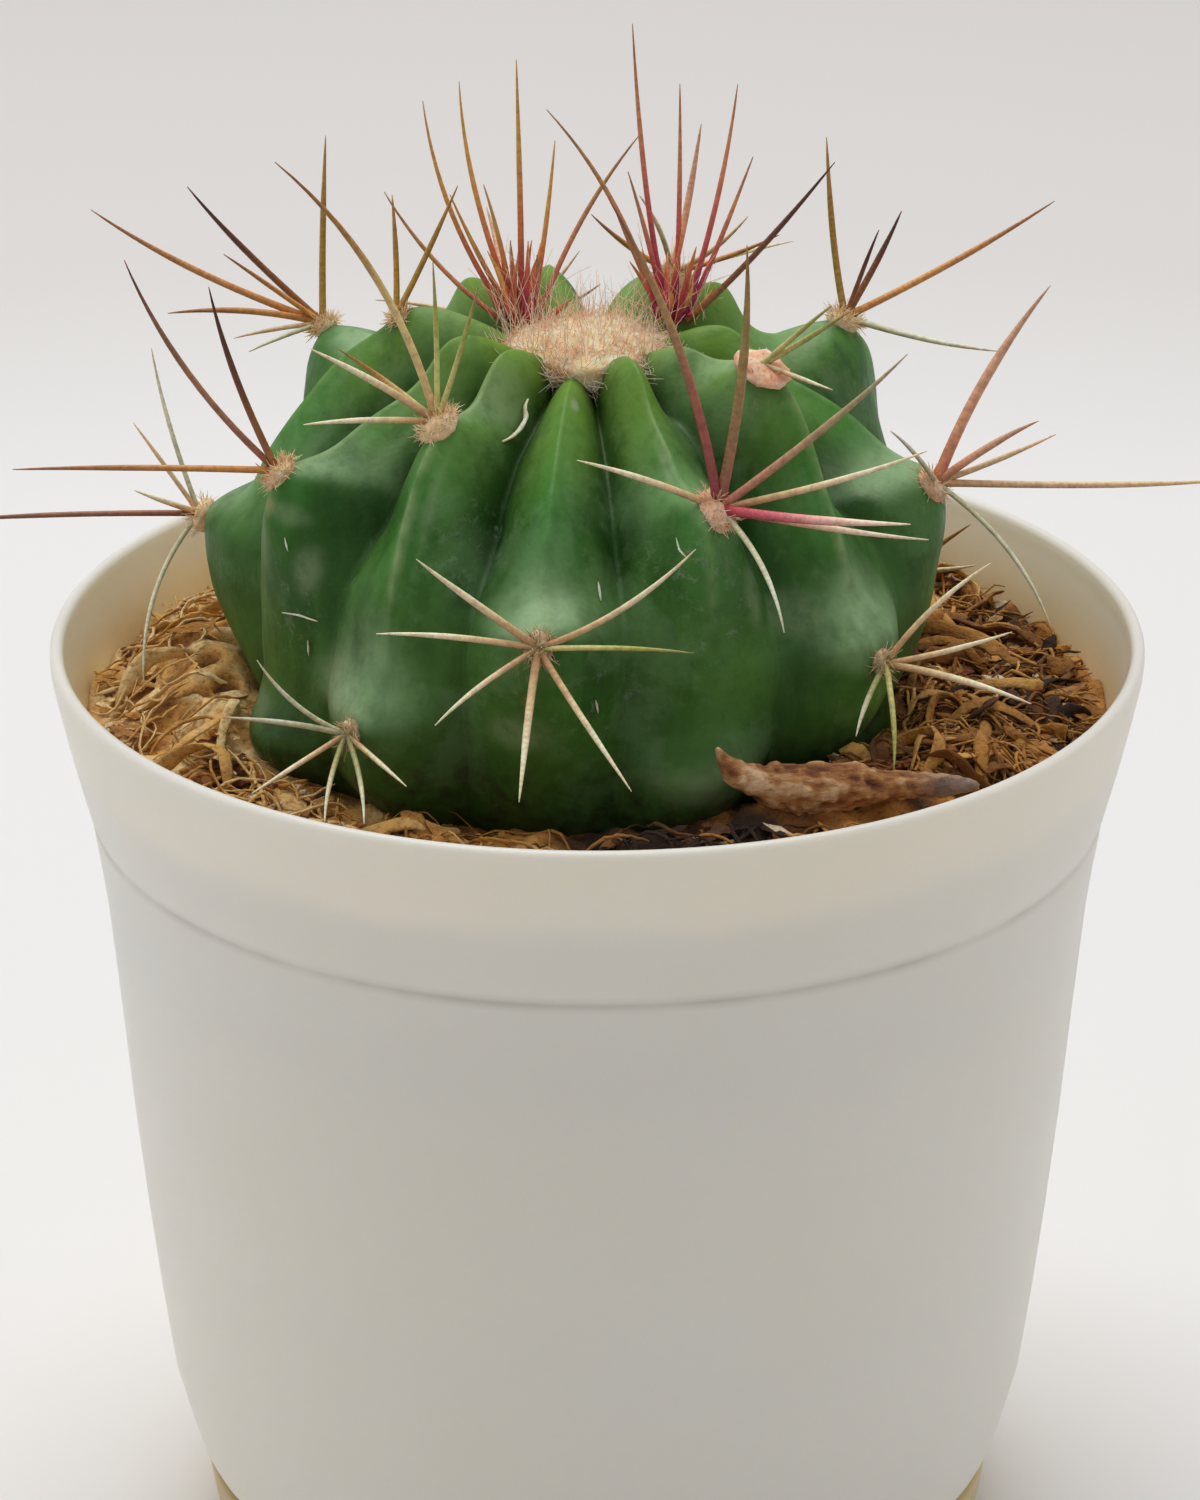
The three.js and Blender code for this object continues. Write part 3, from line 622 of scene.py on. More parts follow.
def bark_material():
    s = Shader("bark", roughness=0.85)
    grain = s.noise(1.1, 6, stretch=(0.25, 1, 1), rough=0.7)
    # Darker in the hollows and lighter on the ridges: partly the bark's own colour, partly painted shade in
    # the crevices and painted highlight on the ridges
    height = s.math("ADD", s.times(grain, 0.5), s.times(s.value("ridge"), 0.5))
    base = s.ramp(height, (0.32, "422412"), (0.43, "945a30"), (0.52, "c08850"), (0.64, "ecc498"), colour=True)
    base = s.mix(s.times(s.value("weathered"), 0.8), base, "a8988a")
    s.set("Base Color", base)
    s.bump((grain, 0.8), (s.cells(0.8), 0.2))
    return s.material


def floor_material():
    s = Shader("floor", roughness=0.6)
    away = s.node("ShaderNodeVectorMath", operation="LENGTH")
    s.put(s.place, away.inputs[0])
    stops = (0.33, "f6f4f1"), (0.45, "e8e4e0"), (1.0, "e8e4e0")
    s.set("Base Color", s.ramp(away.outputs["Value"], *stops, colour=True))
    return s.material


# Plant form


def azimuth_of(turn):
    return FRONT_RIB + turn - FRONT_CROWDING * np.sin(np.radians(turn))


def turn_of_azimuth(azimuth):
    turn = azimuth - FRONT_RIB
    for _ in range(20):
        turn = azimuth - FRONT_RIB + FRONT_CROWDING * math.sin(math.radians(turn))
    return turn


def areole_place(number):
    """Turn and polar angle of an areole."""
    nudge = FRONT_AREOLES.get(number, {})
    rib = (number * SPIRAL_RIBS + FIRST_RIB) % RIBS
    lift = SOIL_LINE_LIFT if number < 0 else 0
    polar = FIRST_POLAR - POLAR_STEP * number - lift + nudge.get("shift", 0)
    return rib * RIB_STEP + nudge.get("aside", 0), polar


SWELLINGS = [YOUNG_SWELLING] + [
    (*areole_place(n), FRONT_AREOLES.get(n, {}).get("swelling", SWELLING)) for n in SPIRAL
]


def upper_part(polar):
    """1 where the ribs are keen, below the crown and above the waist."""
    return smoothstep(polar, *KEEN_FROM) * (1 - smoothstep(polar, *KEEN_UNTIL))


def relief(turn, polar):
    """How far the ribs, swellings and crown stand out from a plain globe."""
    sharp = 2 * np.abs(turn / RIB_STEP - np.round(turn / RIB_STEP))
    rounded = 1 - np.abs(np.cos(math.pi * turn / RIB_STEP)) ** RIB_ROUNDNESS
    keen = RIB_KEENNESS * upper_part(polar)
    sine = np.sin(np.radians(polar))
    open_air = 1 - smoothstep(polar, BURIED_POLAR, BURIED_POLAR + BURIED_SPAN)
    depth = RIB_DEPTH * (1 - VALLEY_FADE * smoothstep(polar, *FADE_BAND))
    valley = rounded + keen * (sharp - rounded)
    rim = CROWN_RIMS[np.round(turn / RIB_STEP).astype(int) % RIBS]
    out = -depth * valley * sine ** VALLEY_POWER * open_air
    out = out + rim * (1 - valley) * bell((polar - CROWN_RIM_POLAR) / CROWN_RIM_SPREAD)
    out = out - CROWN_DIMPLE * bell(polar / DIMPLE_POLAR)
    for at_turn, at_polar, height in SWELLINGS:
        above = at_polar - polar
        fall = bell(wrapped(turn - at_turn) / SWELLING_WIDTH, above / np.where(above > 0, SHELF, FLANK))
        out = out + height * fall * sine ** SWELLING_POWER * open_air
    return out


def plant_point(turn, polar, extra=0.0):
    turn, polar = np.broadcast_arrays(np.asarray(turn, float), np.asarray(polar, float))
    tilt, azimuth = np.radians(polar), np.radians(azimuth_of(turn))
    rise = np.cos(tilt)
    across = WAIST_RADIUS * np.abs(np.sin(tilt)) ** FLATNESS
    up = np.where(rise > 0, CROWN_RISE, ROOT_DROP) * np.sign(rise) * np.abs(rise) ** FLATNESS
    point = np.stack([across * np.sin(azimuth), -across * np.cos(azimuth), up], -1)
    length = np.linalg.norm(point, axis=-1, keepdims=True)
    point = point * (length + (relief(turn, polar) + extra)[..., None]) / length
    point = point + np.array(BASE_SHIFT) * smoothstep(polar, *LEAN_BAND)[..., None]
    return point + np.array([PLANT_X, 0, WAIST_Z])


def areole_frame(turn, polar):
    """Where an areole stands: its place, and its directions aside, up and outwards."""
    origin = plant_point(turn, polar)
    up = unit(plant_point(turn, polar - 2) - plant_point(turn, polar + 2))
    side = unit(plant_point(turn + 2, polar) - plant_point(turn - 2, polar))
    out = unit(np.cross(side, up))
    return origin, np.cross(up, out), up, out


def grid_faces(rows, columns):
    """Faces of a globe: rows of points with a pole before and after them, which come last."""
    return [(face[0], *face[:0:-1]) for face in tube_faces(rows, columns)]


FOLDS = [(4.5, 0.5, 41), (8.5, 0.35, 47)]  # creases beside the valleys: degrees from them, depth, seed
FOLD_WIDTH = 1.5
CREST_WIDTH = 1.1
# Strength of the pale crest line on each rib: partly the skin's own colour, partly a painted highlight where
# light catches the crest
CREST_LINES_AND_HIGHLIGHTS = np.array([0.1, 0.5, 0.85, 0.2, 0.2, 0.2, 0.2, 0.2, 0.3, 0.6, 1.0])  # pale line along each rib
# Rubbed spots; the last one, on the ribs left of the crown, is a painted highlight and not wear
WORN_AND_HIGHLIGHT = [  # rubbed spots: turn, polar angle, half width and half length in degrees, amount
    (4, 22.3, 2, 1.6, 0.9), (-56, 77, 2.6, 5.5, 0.4), (-62, 66, 4, 2.5, 0.3), (31, 41, 0.9, 6, 0.5),
    (-4, 96, 7, 3.4, 0.35), (34, 106, 11, 4, 0.34), (-29, 54, 1.1, 12, 0.35), (44, 74, 3, 7, 0.25),
    (-45, 95, 7, 5, 0.5), (52.5, 81, 5, 5, 0.3), (-70, 106, 5, 2.5, 0.3), (-27, 24, 8, 5.5, 0.4),
]
# Warty spots: turn, polar angle, half width and half length in degrees
WARTS = [(30, 66, 9, 7), (36, 78, 8, 9), (-20, 60, 8, 9), (-60, 84, 7, 8), (12, 92, 9, 7)]
# Pale facet above each areole, partly the skin's waxy bloom and partly a painted highlight on the top of its
# swelling, by number: its strength, and its half width in degrees
BLOOM_AND_HIGHLIGHT = {0: 0.75, 1: 0.7, 4: 0.85, 3: 0.5, 5: 0.8, 7: 0.6, 8: 0.3, 9: 0.5, 10: 0.8, 11: 0.5, 12: 0.5, 14: 0.3}
BACK_BLOOM_AND_HIGHLIGHT = 0.4
BLOOM_AND_HIGHLIGHT_WIDTH = {0: 9, 1: 10, 4: 9, 5: 15, 7: 14, 9: 12, 10: 15}
OTHER_BLOOM_AND_HIGHLIGHT_WIDTH = 9
LOW_FACETS = (0, 1, 4)  # these are wide at the areole and narrow above it


def rib_places(turn):
    """Degrees from the nearest rib's middle and from the nearest valley, the rib's number and the side."""
    part = (turn / RIB_STEP + 0.5) % 1 - 0.5
    centre_off = np.abs(part) * RIB_STEP
    return centre_off, RIB_STEP / 2 - centre_off, np.round(turn / RIB_STEP).astype(int) % RIBS, np.sign(part)


def skin_relief(turn, polar):
    """What the skin has over the solid's form: grooves, folds, keels, dents and ripples."""
    centre_off, valley_off, rib, side = rib_places(turn)
    sine, upper = np.sin(np.radians(polar)), upper_part(polar)
    near = np.zeros_like(turn)
    for at_turn, at_polar, _ in SWELLINGS:
        away = wrapped(turn - at_turn) / NEAR_AREOLE[0], (at_polar - polar) / NEAR_AREOLE[1]
        near = np.maximum(near, bell(*away))
    extra = -GROOVE_DEPTH * bell(valley_off / GROOVE_WIDTH) * sine * upper
    for place, depth, seed in FOLDS:
        drift = 2.2 * noise(in_plane(polar / 14, rib + 0.4 * side), 1, seed)
        strength = 0.5 + 0.5 * noise(in_plane(polar / 17, 3.7 * rib + side), 1, seed + 1)
        extra -= depth * strength * bell((valley_off - place - drift) / FOLD_WIDTH) * sine * upper
    extra += KEEL_HEIGHT * bell(centre_off / KEEL_WIDTH) * sine * upper * (1 - near)
    smooth = plant_point(turn, polar)
    extra += DENT_DEPTH * noise(smooth, DENT_SIZE, 3) * smoothstep(polar, 10, 30)
    return extra + RIPPLE_DEPTH * noise(smooth, RIPPLE_SIZE, 4)


def skin_marks(turn, polar):
    """How strongly each marking shows, from 0 to 1."""
    centre_off, valley_off, rib, _ = rib_places(turn)
    bloom_and_highlight, scar, worn_and_highlight, warty = np.zeros((4, *turn.shape))
    fray = noise(plant_point(turn, polar), 4, 9)
    for number in SPIRAL:
        at_turn, at_polar = areole_place(number)
        aside, above = np.abs(wrapped(turn - at_turn)), at_polar - polar
        ragged = above + 2.2 * fray
        # the facet is partly waxy bloom and partly a painted highlight on the swelling's top
        width = BLOOM_AND_HIGHLIGHT_WIDTH.get(number, OTHER_BLOOM_AND_HIGHLIGHT_WIDTH)
        if number in LOW_FACETS:
            width = width * (1 - 0.7 * smoothstep(above, 2, 24))
        else:
            width = width * (0.3 + 0.7 * smoothstep(ragged, 0, 8)) - 4 * smoothstep(above, 8, 20)
        tongue = np.exp(-np.abs(aside / width) ** 2.2)
        tongue = tongue * smoothstep(ragged, -1, 4) * (1 - smoothstep(ragged, 5, 22))
        bloom_and_highlight = np.maximum(bloom_and_highlight, BLOOM_AND_HIGHLIGHT.get(number, BACK_BLOOM_AND_HIGHLIGHT if number >= 0 else 0) * tongue)
        scar = np.maximum(scar, bell(aside / 6, (above + 6) / 7))
    for at_turn, at_polar, width, length, amount in WORN_AND_HIGHLIGHT:
        away = np.hypot(wrapped(turn - at_turn) / width, (polar - at_polar) / length)
        worn_and_highlight = np.maximum(worn_and_highlight, amount * np.exp(-away ** 4))
    for at_turn, at_polar, width, length in WARTS:
        warty = np.maximum(warty, bell(wrapped(turn - at_turn) / width, (polar - at_polar) / length))
    pale_crest_and_highlight = bell(centre_off / CREST_WIDTH) * (1 - smoothstep(polar, 66, 84)) * smoothstep(polar, 14, 30)
    # painted shade along the valleys between the ribs, strongest below the crown
    valley_shade = bell(valley_off / 6.8) * smoothstep(polar, 5, 20) * (1 - 0.6 * smoothstep(polar, 60, 84))
    return dict(
        bloom_and_highlight=bloom_and_highlight, valley_shade=valley_shade, young=1 - smoothstep(polar, 10, 58), old=smoothstep(polar, 94, 112),
        scar=scar, pale_crest_and_highlight=pale_crest_and_highlight * CREST_LINES_AND_HIGHLIGHTS[rib], back=bell(centre_off / 6) * upper_part(polar),
        worn_and_highlight=worn_and_highlight, warty=warty,
    )


def make_body(material):
    columns = RIBS * SKIN_COLUMNS_PER_RIB
    rows = np.concatenate([np.linspace(0, SKIN_END, SKIN_ROWS + 1)[1:], BURIED_ROWS])
    turn, polar = np.meshgrid(np.arange(columns) * 360 / columns, rows)
    points = plant_point(turn, polar, skin_relief(turn, polar))
    poles = [plant_point(0, 0.01), plant_point(0, 179.99)]
    marks = {key: np.concatenate([grid.ravel(), grid[0, :1], grid[-1, :1]])[:, None]
             for key, grid in skin_marks(turn, polar).items()}
    builder = Builder()
    builder.add(np.concatenate([points.reshape(-1, 3), poles]), grid_faces(len(rows), columns), **marks)
    body = builder.build("cactus_skin", material)
    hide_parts("cactus_body")


# Spines and wool

VIEW = math.radians(PITCH)
SEEN_RIGHT = np.array([1.0, 0, 0])
SEEN_UP = np.array([0, math.sin(VIEW), math.cos(VIEW)])
SEEN_NEAR = np.array([0, -math.cos(VIEW), math.sin(VIEW)])


def seen_way(clock, lean):
    """The direction of a spine from its clock angle as seen in the photo, and its lean towards the camera."""
    turn, near = math.radians(clock), math.radians(lean)
    upright = SEEN_RIGHT * math.sin(turn) + SEEN_UP * math.cos(turn)
    return upright * math.cos(near) + SEEN_NEAR * math.sin(near)


def along_colours(stops, along):
    """Colours between evenly spread stops, at places from 0 to 1."""
    table = np.array([linear(c) for c in stops])
    places = np.clip(along, 0, 1) * (len(table) - 1)
    low = np.minimum(places.astype(int), len(table) - 2)
    part = (places - low)[:, None]
    return table[low] * (1 - part) + table[low + 1] * part


def add_spine(builder, rng, root, way, length, radius, bow, colour, sides=8, steps=15):
    length = length - TIP_ROOM
    along = np.linspace(0, 1, steps)
    aside = unit(np.cross(way, SEEN_NEAR))
    across = np.cross(aside, way)
    wobble = SPINE_WOBBLE * length * rng.uniform(-1, 1, 2)
    arc = 4 * along * (1 - along)
    path = root + np.outer(along * length, way) + np.outer(arc * bow, aside)
    path += np.outer(arc * along * wobble[0], aside) + np.outer(arc * along * wobble[1], across)
    radii = SLIMNESS * radius * (1.05 - SPINE_TAPER * along)
    radii = radii * np.clip((1 - along) / TIP_SHARE, 0, 1) ** 0.7 + TIP_RADIUS
    radii[0] *= ROOT_FLARE
    points, faces = tube(path, radii, sides, across=aside, flat=0.72 if radius > FLAT_FROM else 0.9)
    tint = round_tube(along_colours(HORN[colour], along) * SPINE_GAIN * rng.uniform(0.9, 1.1), sides)
    # painted shade: each spine's colour is darkened on its underside
    top = unit(points[:-2] - np.repeat(path, sides, 0)) @ UP
    tint[:-2] *= (1 - UNDERSIDE_SHADE + UNDERSIDE_SHADE * top)[:, None]
    builder.add(points, faces, tint=tint, wool=0.0, along=round_tube(along * length, sides)[:, None])


def add_hair(builder, rng, root, way, length, radius, tint, curl=0.35, steps=4):
    along = np.linspace(0, 1, steps)
    bend = unit(rng.normal(size=3)) * curl * length
    path = root + np.outer(along * length, way) + np.outer(along ** 2, bend)
    points, faces = tube(path, radius * (1 - 0.6 * along), 3)
    builder.add(points, faces, tint=tint, wool=1.0, along=0.0)


def wool_tint(rng, colours):
    return along_colours(colours, rng.uniform(0, 1, 1))[0]


def add_pad(builder, rng, frame_at, size, colours, hairs, hair_length, rings=9, sides=16):
    """A woolly cushion with hairs all over it."""
    origin, side, up, out = frame_at
    basis = np.stack([side, up, out])
    rows, columns = np.linspace(0, math.pi, rings + 2)[1:-1], np.arange(sides) * 2 * math.pi / sides
    polar, turn = np.meshgrid(rows, columns, indexing="ij")
    ball = np.stack([np.sin(polar) * np.cos(turn), np.sin(polar) * np.sin(turn), np.cos(polar)], -1)
    ball = np.concatenate([ball.reshape(-1, 3), [[0, 0, 1], [0, 0, -1]]])
    lumps = 1 + 0.14 * noise(ball * 3 + origin, 1.1, 5)
    points = origin + (ball * lumps[:, None] * np.array(size)) @ basis
    shade = 1.02 + 0.14 * noise(points, 0.8, 6)
    tint = along_colours(colours, rng.uniform(0, 1, len(points))) * shade[:, None]
    builder.add(points, grid_faces(rings, sides), tint=tint, wool=1.0, along=0.0)
    for _ in range(hairs):
        direction = unit(rng.normal(size=3) * (1, 1, 0.8) + (0, 0, 0.5))
        direction[2] = abs(direction[2])
        root = origin + (direction * np.array(size) * 0.85) @ basis
        way = unit((direction * (1, 1, 1.3) + rng.normal(size=3) * 0.45) @ basis)
        tint = wool_tint(rng, colours) * rng.uniform(0.95, 1.2)
        add_hair(builder, rng, root, way, hair_length * rng.uniform(0.5, 1.2), HAIR_RADIUS, tint)


# Wool pads by number: their sizes as shares of PAD, their wool, and their hairs' number and length
PAD_SIZES = {0: 0.6, 1: 0.6, 4: 0.7, 8: 1.0, 10: 0.65, 11: 1.0, 12: np.array([1.15, 1.35, 0.6]), 14: 0.45}
OTHER_PAD_SIZE = 0.8
OLD_PADS, PINK_PADS = (0, 1, 4), (5, 8, 12)
BALD_PAD, BALD_HAIRS = 12, (60, 0.6)
LOW_HAIRS, HIGH_HAIRS, HIGH_FROM = (110, 1.2), (260, 1.2), 7
OLD_WOOL = ("a8845c", "d4b488", "f0dcb8")
YOUNG_WOOL = ("f6c08a", "ffd6a6", "ffeece")
PINK_WOOL = ("f2a880", "fcc8a0", "ffe4cc")


def back_spines(rng, frame_at, number):
    """The spines of an areole at the back, by rule."""
    _, side, up, out = frame_at
    low = number < 0
    count = LOW_BACK_SPINES if low else BACK_SPINES
    fan = math.pi if low else 2 * math.pi
    spines = []
    for i in range(count):
        turn = fan * ((i + 0.5 + 0.2 * rng.uniform(-1, 1)) / count - 0.5)
        lift = math.radians(28 + 6 * rng.uniform(-1, 1))
        way = (side * math.sin(turn) + up * math.cos(turn)) * math.cos(lift) + out * math.sin(lift)
        length = 9 + rng.uniform(-1, 1) if low else 14 + 2 * rng.uniform(-1, 1) - 3 * math.cos(turn)
        spines.append((way, length, 0.45, rng.uniform(-0.6, 0.6), ("cream", "orange", "tan")[i % 3]))
    if not low:
        spines.append((out, 17, 0.65, 0.3, "coral"))
    return spines


def make_areoles(material):
    numbers = sorted([*FRONT_AREOLES, *BACK_AREOLES])
    for index, number in enumerate(numbers):
        rng = np.random.default_rng(400 + index)
        name = f"areole_{index + 1:02d}"
        frame_at = areole_frame(*areole_place(number))
        builder = Builder()
        wool = OLD_WOOL if number in OLD_PADS else PINK_WOOL if number in PINK_PADS else YOUNG_WOOL
        size = np.array(PAD) * PAD_SIZES.get(number, OTHER_PAD_SIZE)
        hairs = BALD_HAIRS if number == BALD_PAD else HIGH_HAIRS if number >= HIGH_FROM else LOW_HAIRS
        add_pad(builder, rng, frame_at, 0.95 * size, wool, *hairs)
        start = frame_at[0] + frame_at[3] * 0.4 * PAD[2]
        if number in FRONT_AREOLES:
            seen = FRONT_AREOLES[number]["spines"]
            spines = [(seen_way(clock, lean), *rest) for clock, lean, *rest in seen]
        else:
            spines = back_spines(rng, frame_at, number)
        for spine in spines:
            add_spine(builder, rng, start, *spine)
        piece = builder.build(f"{name}_spines", material)
        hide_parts(name)


TUFT_BUDS = 14
BUD_COLOURS = ("crimson", "magenta", "ruby")
TUFT_HAIRS = 50
WOOL_HAIRS = 3600
WOOL_FIBRES = 220


def add_tuft(builder, rng, azimuth, polar, spines):
    """Young spines, with shorter ones and fine hairs between them."""
    frame_at = areole_frame(turn_of_azimuth(azimuth), polar)
    start = frame_at[0] + frame_at[3] * 0.4 * TUFT_PAD[2]
    for clock, lean, length, radius, bow, colour in spines:
        spread = 2.6 * SEEN_RIGHT * math.sin(math.radians(clock)) + 0.7 * rng.uniform(-1, 1, 3) * (1, 1, 0.4)
        way = seen_way(clock, lean)
        add_spine(builder, rng, start + spread, way, length - 0.5, 0.88 * radius, bow, colour)
    for _ in range(TUFT_BUDS):
        clock = rng.normal() * 20
        root = start + 2.4 * SEEN_RIGHT * math.sin(math.radians(clock))
        root = root + rng.uniform(-1.2, 1.2, 3) * (1, 1, 0.3)
        way = seen_way(clock, rng.uniform(-10, 25))
        length, radius, bow = rng.uniform(4, 10), rng.uniform(0.35, 0.6), rng.uniform(-0.5, 0.5)
        add_spine(builder, rng, root, way, length, radius, bow, BUD_COLOURS[rng.integers(3)], steps=9)
    for _ in range(TUFT_HAIRS):
        root = start + rng.normal(size=3) * (1.9, 1.6, 0.3)
        way = unit(rng.normal(size=3) * (0.45, 0.45, 0.2) + UP)
        tint = wool_tint(rng, PINK_WOOL)
        add_hair(builder, rng, root, way, rng.uniform(3, 9), 0.06, tint, curl=0.25, steps=6)


# Small things on the skin: a curled thread, short flecks and glints, as (turn, polar) places
CURL = [(-21.2, 33.2), (-19.4, 31.2), (-18.1, 28.1), (-17.9, 24.6), (-19.8, 22.9), (-20.3, 20.6)]
FLECKS = [
    [(-60.8, 71.2), (-59.8, 73.8)], [(-61.2, 87.4), (-56.8, 86.6), (-52.7, 86.8)],
    [(-54.7, 90.2), (-54.4, 92.3)], [(11.1, 68.1), (11.5, 72.2)],
    [(27.8, 58.9), (28, 61.7), (28.9, 63.4)], [(10.1, 90.3), (10.6, 92.2)],
]
THREAD_STEPS = 24
CURL_ARCH = 1.2


def make_threads(material):
    rng = np.random.default_rng(77)
    builder = Builder()
    for knots, radius, arch in [(CURL, 0.3, CURL_ARCH)] + [(fleck, 0.16, 0) for fleck in FLECKS]:
        share = np.linspace(0, len(knots) - 1, THREAD_STEPS)
        turn, polar = (np.interp(share, range(len(knots)), [k[i] for k in knots]) for i in (0, 1))
        path = plant_point(turn, polar, radius + arch * np.sin(np.linspace(0, 3, THREAD_STEPS)))
        soften(path, 3)
        taper = 0.35 + 0.65 * np.sin(np.linspace(0.15, math.pi - 0.15, THREAD_STEPS))
        radii = radius * taper * rng.uniform(0.85, 1.15, THREAD_STEPS)
        points, faces = tube(path, radii, 8, flat=0.7)
        tint = along_colours(("e0d8a0", "fbf6e0", "e8d8a8"), np.linspace(0, 1, len(points)))
        builder.add(points, faces, tint=tint, wool=0.0, along=0.0)
    builder.build("skin_threads", material)


def make_crown(horn, wool_shade):
    rng = np.random.default_rng(90)
    for name, tuft in CROWN_TUFTS.items():
        builder = Builder()
        add_tuft(builder, rng, *tuft)
        piece = builder.build(f"{name}_fine", horn)
        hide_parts(name)
    builder = Builder()
    centre, size = np.array(CROWN_WOOL_AT), np.array(CROWN_WOOL)
    upright = (centre, np.array([1.0, 0, 0]), np.array([0, 1.0, 0]), UP)
    add_pad(builder, rng, upright, size * (0.95, 0.95, 0.85), YOUNG_WOOL, 0, 1.0, rings=26, sides=60)
    for _ in range(WOOL_HAIRS):
        direction = unit(rng.normal(size=3))
        direction[2] = abs(direction[2] + 0.55) - 0.55
        root = centre + direction * size * (0.93, 0.93, 0.8)
        rim = max(0.0, 1 - 2 * abs(direction[2] + 0.1))
        spread = direction * (0.5 + rim, 0.5 + rim, 0.4) + (0, 0, 0.35 * (1 - rim))
        way = unit(spread + rng.normal(size=3) * 0.7)
        tint = wool_tint(rng, YOUNG_WOOL if rng.uniform() < 0.6 else PINK_WOOL)
        length = rng.uniform(0.5, 1.6) * (1 + rim)
        add_hair(builder, rng, root, way, length, HAIR_RADIUS, tint * rng.uniform(0.9, 1.1), curl=0.7)
    for _ in range(WOOL_FIBRES):
        turn, reach = rng.uniform(0, 2 * math.pi), 0.9 * math.sqrt(rng.uniform())
        place = reach * math.cos(turn), reach * math.sin(turn), 0.7 * math.sqrt(1 - reach ** 2)
        way = unit(rng.normal(size=3) * (0.3, 0.3, 0.1) + UP)
        tint = wool_tint(rng, YOUNG_WOOL if rng.uniform() < 0.5 else PINK_WOOL)
        length = rng.uniform(2, 6.5)
        add_hair(builder, rng, centre + size * place, way, length, 0.05, tint, curl=0.25, steps=6)
    piece = builder.build("crown_wool_hair", wool_shade)
    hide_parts("crown_wool")


# Soil, husk and bark


def soil_height(x, y):
    radius = np.hypot(x, y)
    azimuth = np.degrees(np.arctan2(x, -y))
    height = SOIL_Z + 0 * radius
    for at_azimuth, at_radius, rise, spread, width in MOUNDS:
        height = height + rise * bell(wrapped(azimuth - at_azimuth) / spread, (radius - at_radius) / width)
    height = height + 0.7 * np.sin(x * 0.61 + 1.2) * np.cos(y * 0.53)
    return height + 0.4 * np.sin(x * 0.23 - y * 0.71)


def reach_table(low, high):
    """The plant's reach from the axis by azimuth, over a band of heights from the soil."""
    turn, polar = np.meshgrid(np.arange(0, 360, 1.0), np.arange(90, 150, 0.5))
    points = plant_point(turn, polar)
    over = points[..., 2] - soil_height(points[..., 0], points[..., 1])
    reach = np.where((over > low) & (over < high), np.hypot(points[..., 0], points[..., 1]), 0)
    widest = reach.argmax(0)[None]
    azimuth = np.degrees(np.arctan2(points[..., 0], -points[..., 1]))
    azimuth, reach = (np.take_along_axis(grid, widest, 0)[0] for grid in (azimuth, reach))
    order = np.argsort(azimuth)
    return azimuth[order], reach[order]


FOOT = reach_table(-1.5, 0.5)
GIRTH = reach_table(-1.5, 3)


def plant_reach(azimuth, table):
    return np.interp(wrapped(azimuth), *table, period=360)


HUSK = ("34200e", "8e5c26", "c68c42", "e8b466", "fcdca0")
HUSK_SHEET_AZIMUTH = -98
HUSK_SHEET_SPREAD = 45
BARE_AZIMUTHS = (-16, 14)
BARE_SHEET = (30, 51)  # half width in degrees, and radius, of the part of the sheet with few pieces on it
BARE_REJECTION = 0.85
PITS = 26
PIT_DEPTH = 2.8
HOLES = [  # in the sheet of husk, as in the photo: x, y and radius
    (-43, 0.6, 1.3), (-43.5, -5.8, 1.4), (-40.7, -3.9, 1.4), (-44.3, -10, 1.1), (-50.4, 14, 1.5),
    (-52.8, 4.2, 1.6), (-41.1, -18, 1.3),
]


def wall_radius(z):
    """The inside of the pot at some height, less a little room."""
    radius, height = np.array(POT_INSIDE[::-1]).T
    return np.interp(z, height, radius) - 0.25


def sheet_share(azimuth):
    """1 in the middle of the sheet of husk at the left, and 0 away from it."""
    return bell(wrapped(azimuth - HUSK_SHEET_AZIMUTH) / HUSK_SHEET_SPREAD)


def husk_tone(x, y):
    """How golden the husk is, from 0 to 1: more so at the left, less at the right, and less in front, partly
    darker soil and partly painted shade under the bark and the plant.
    """
    azimuth = np.degrees(np.arctan2(x, -y))
    place = in_plane(x, y)
    tone = 0.42 + (0.24 * noise(place, 9, 14) + 0.26 * noise(place, 3.4, 17))
    tone = tone + 0.42 * sheet_share(azimuth)
    # the front is darker, partly darker soil and partly painted shade under the bark and the plant
    return tone - 0.16 * bell((azimuth - 85) / 35) - 0.36 * bell((azimuth - 12) / 23)


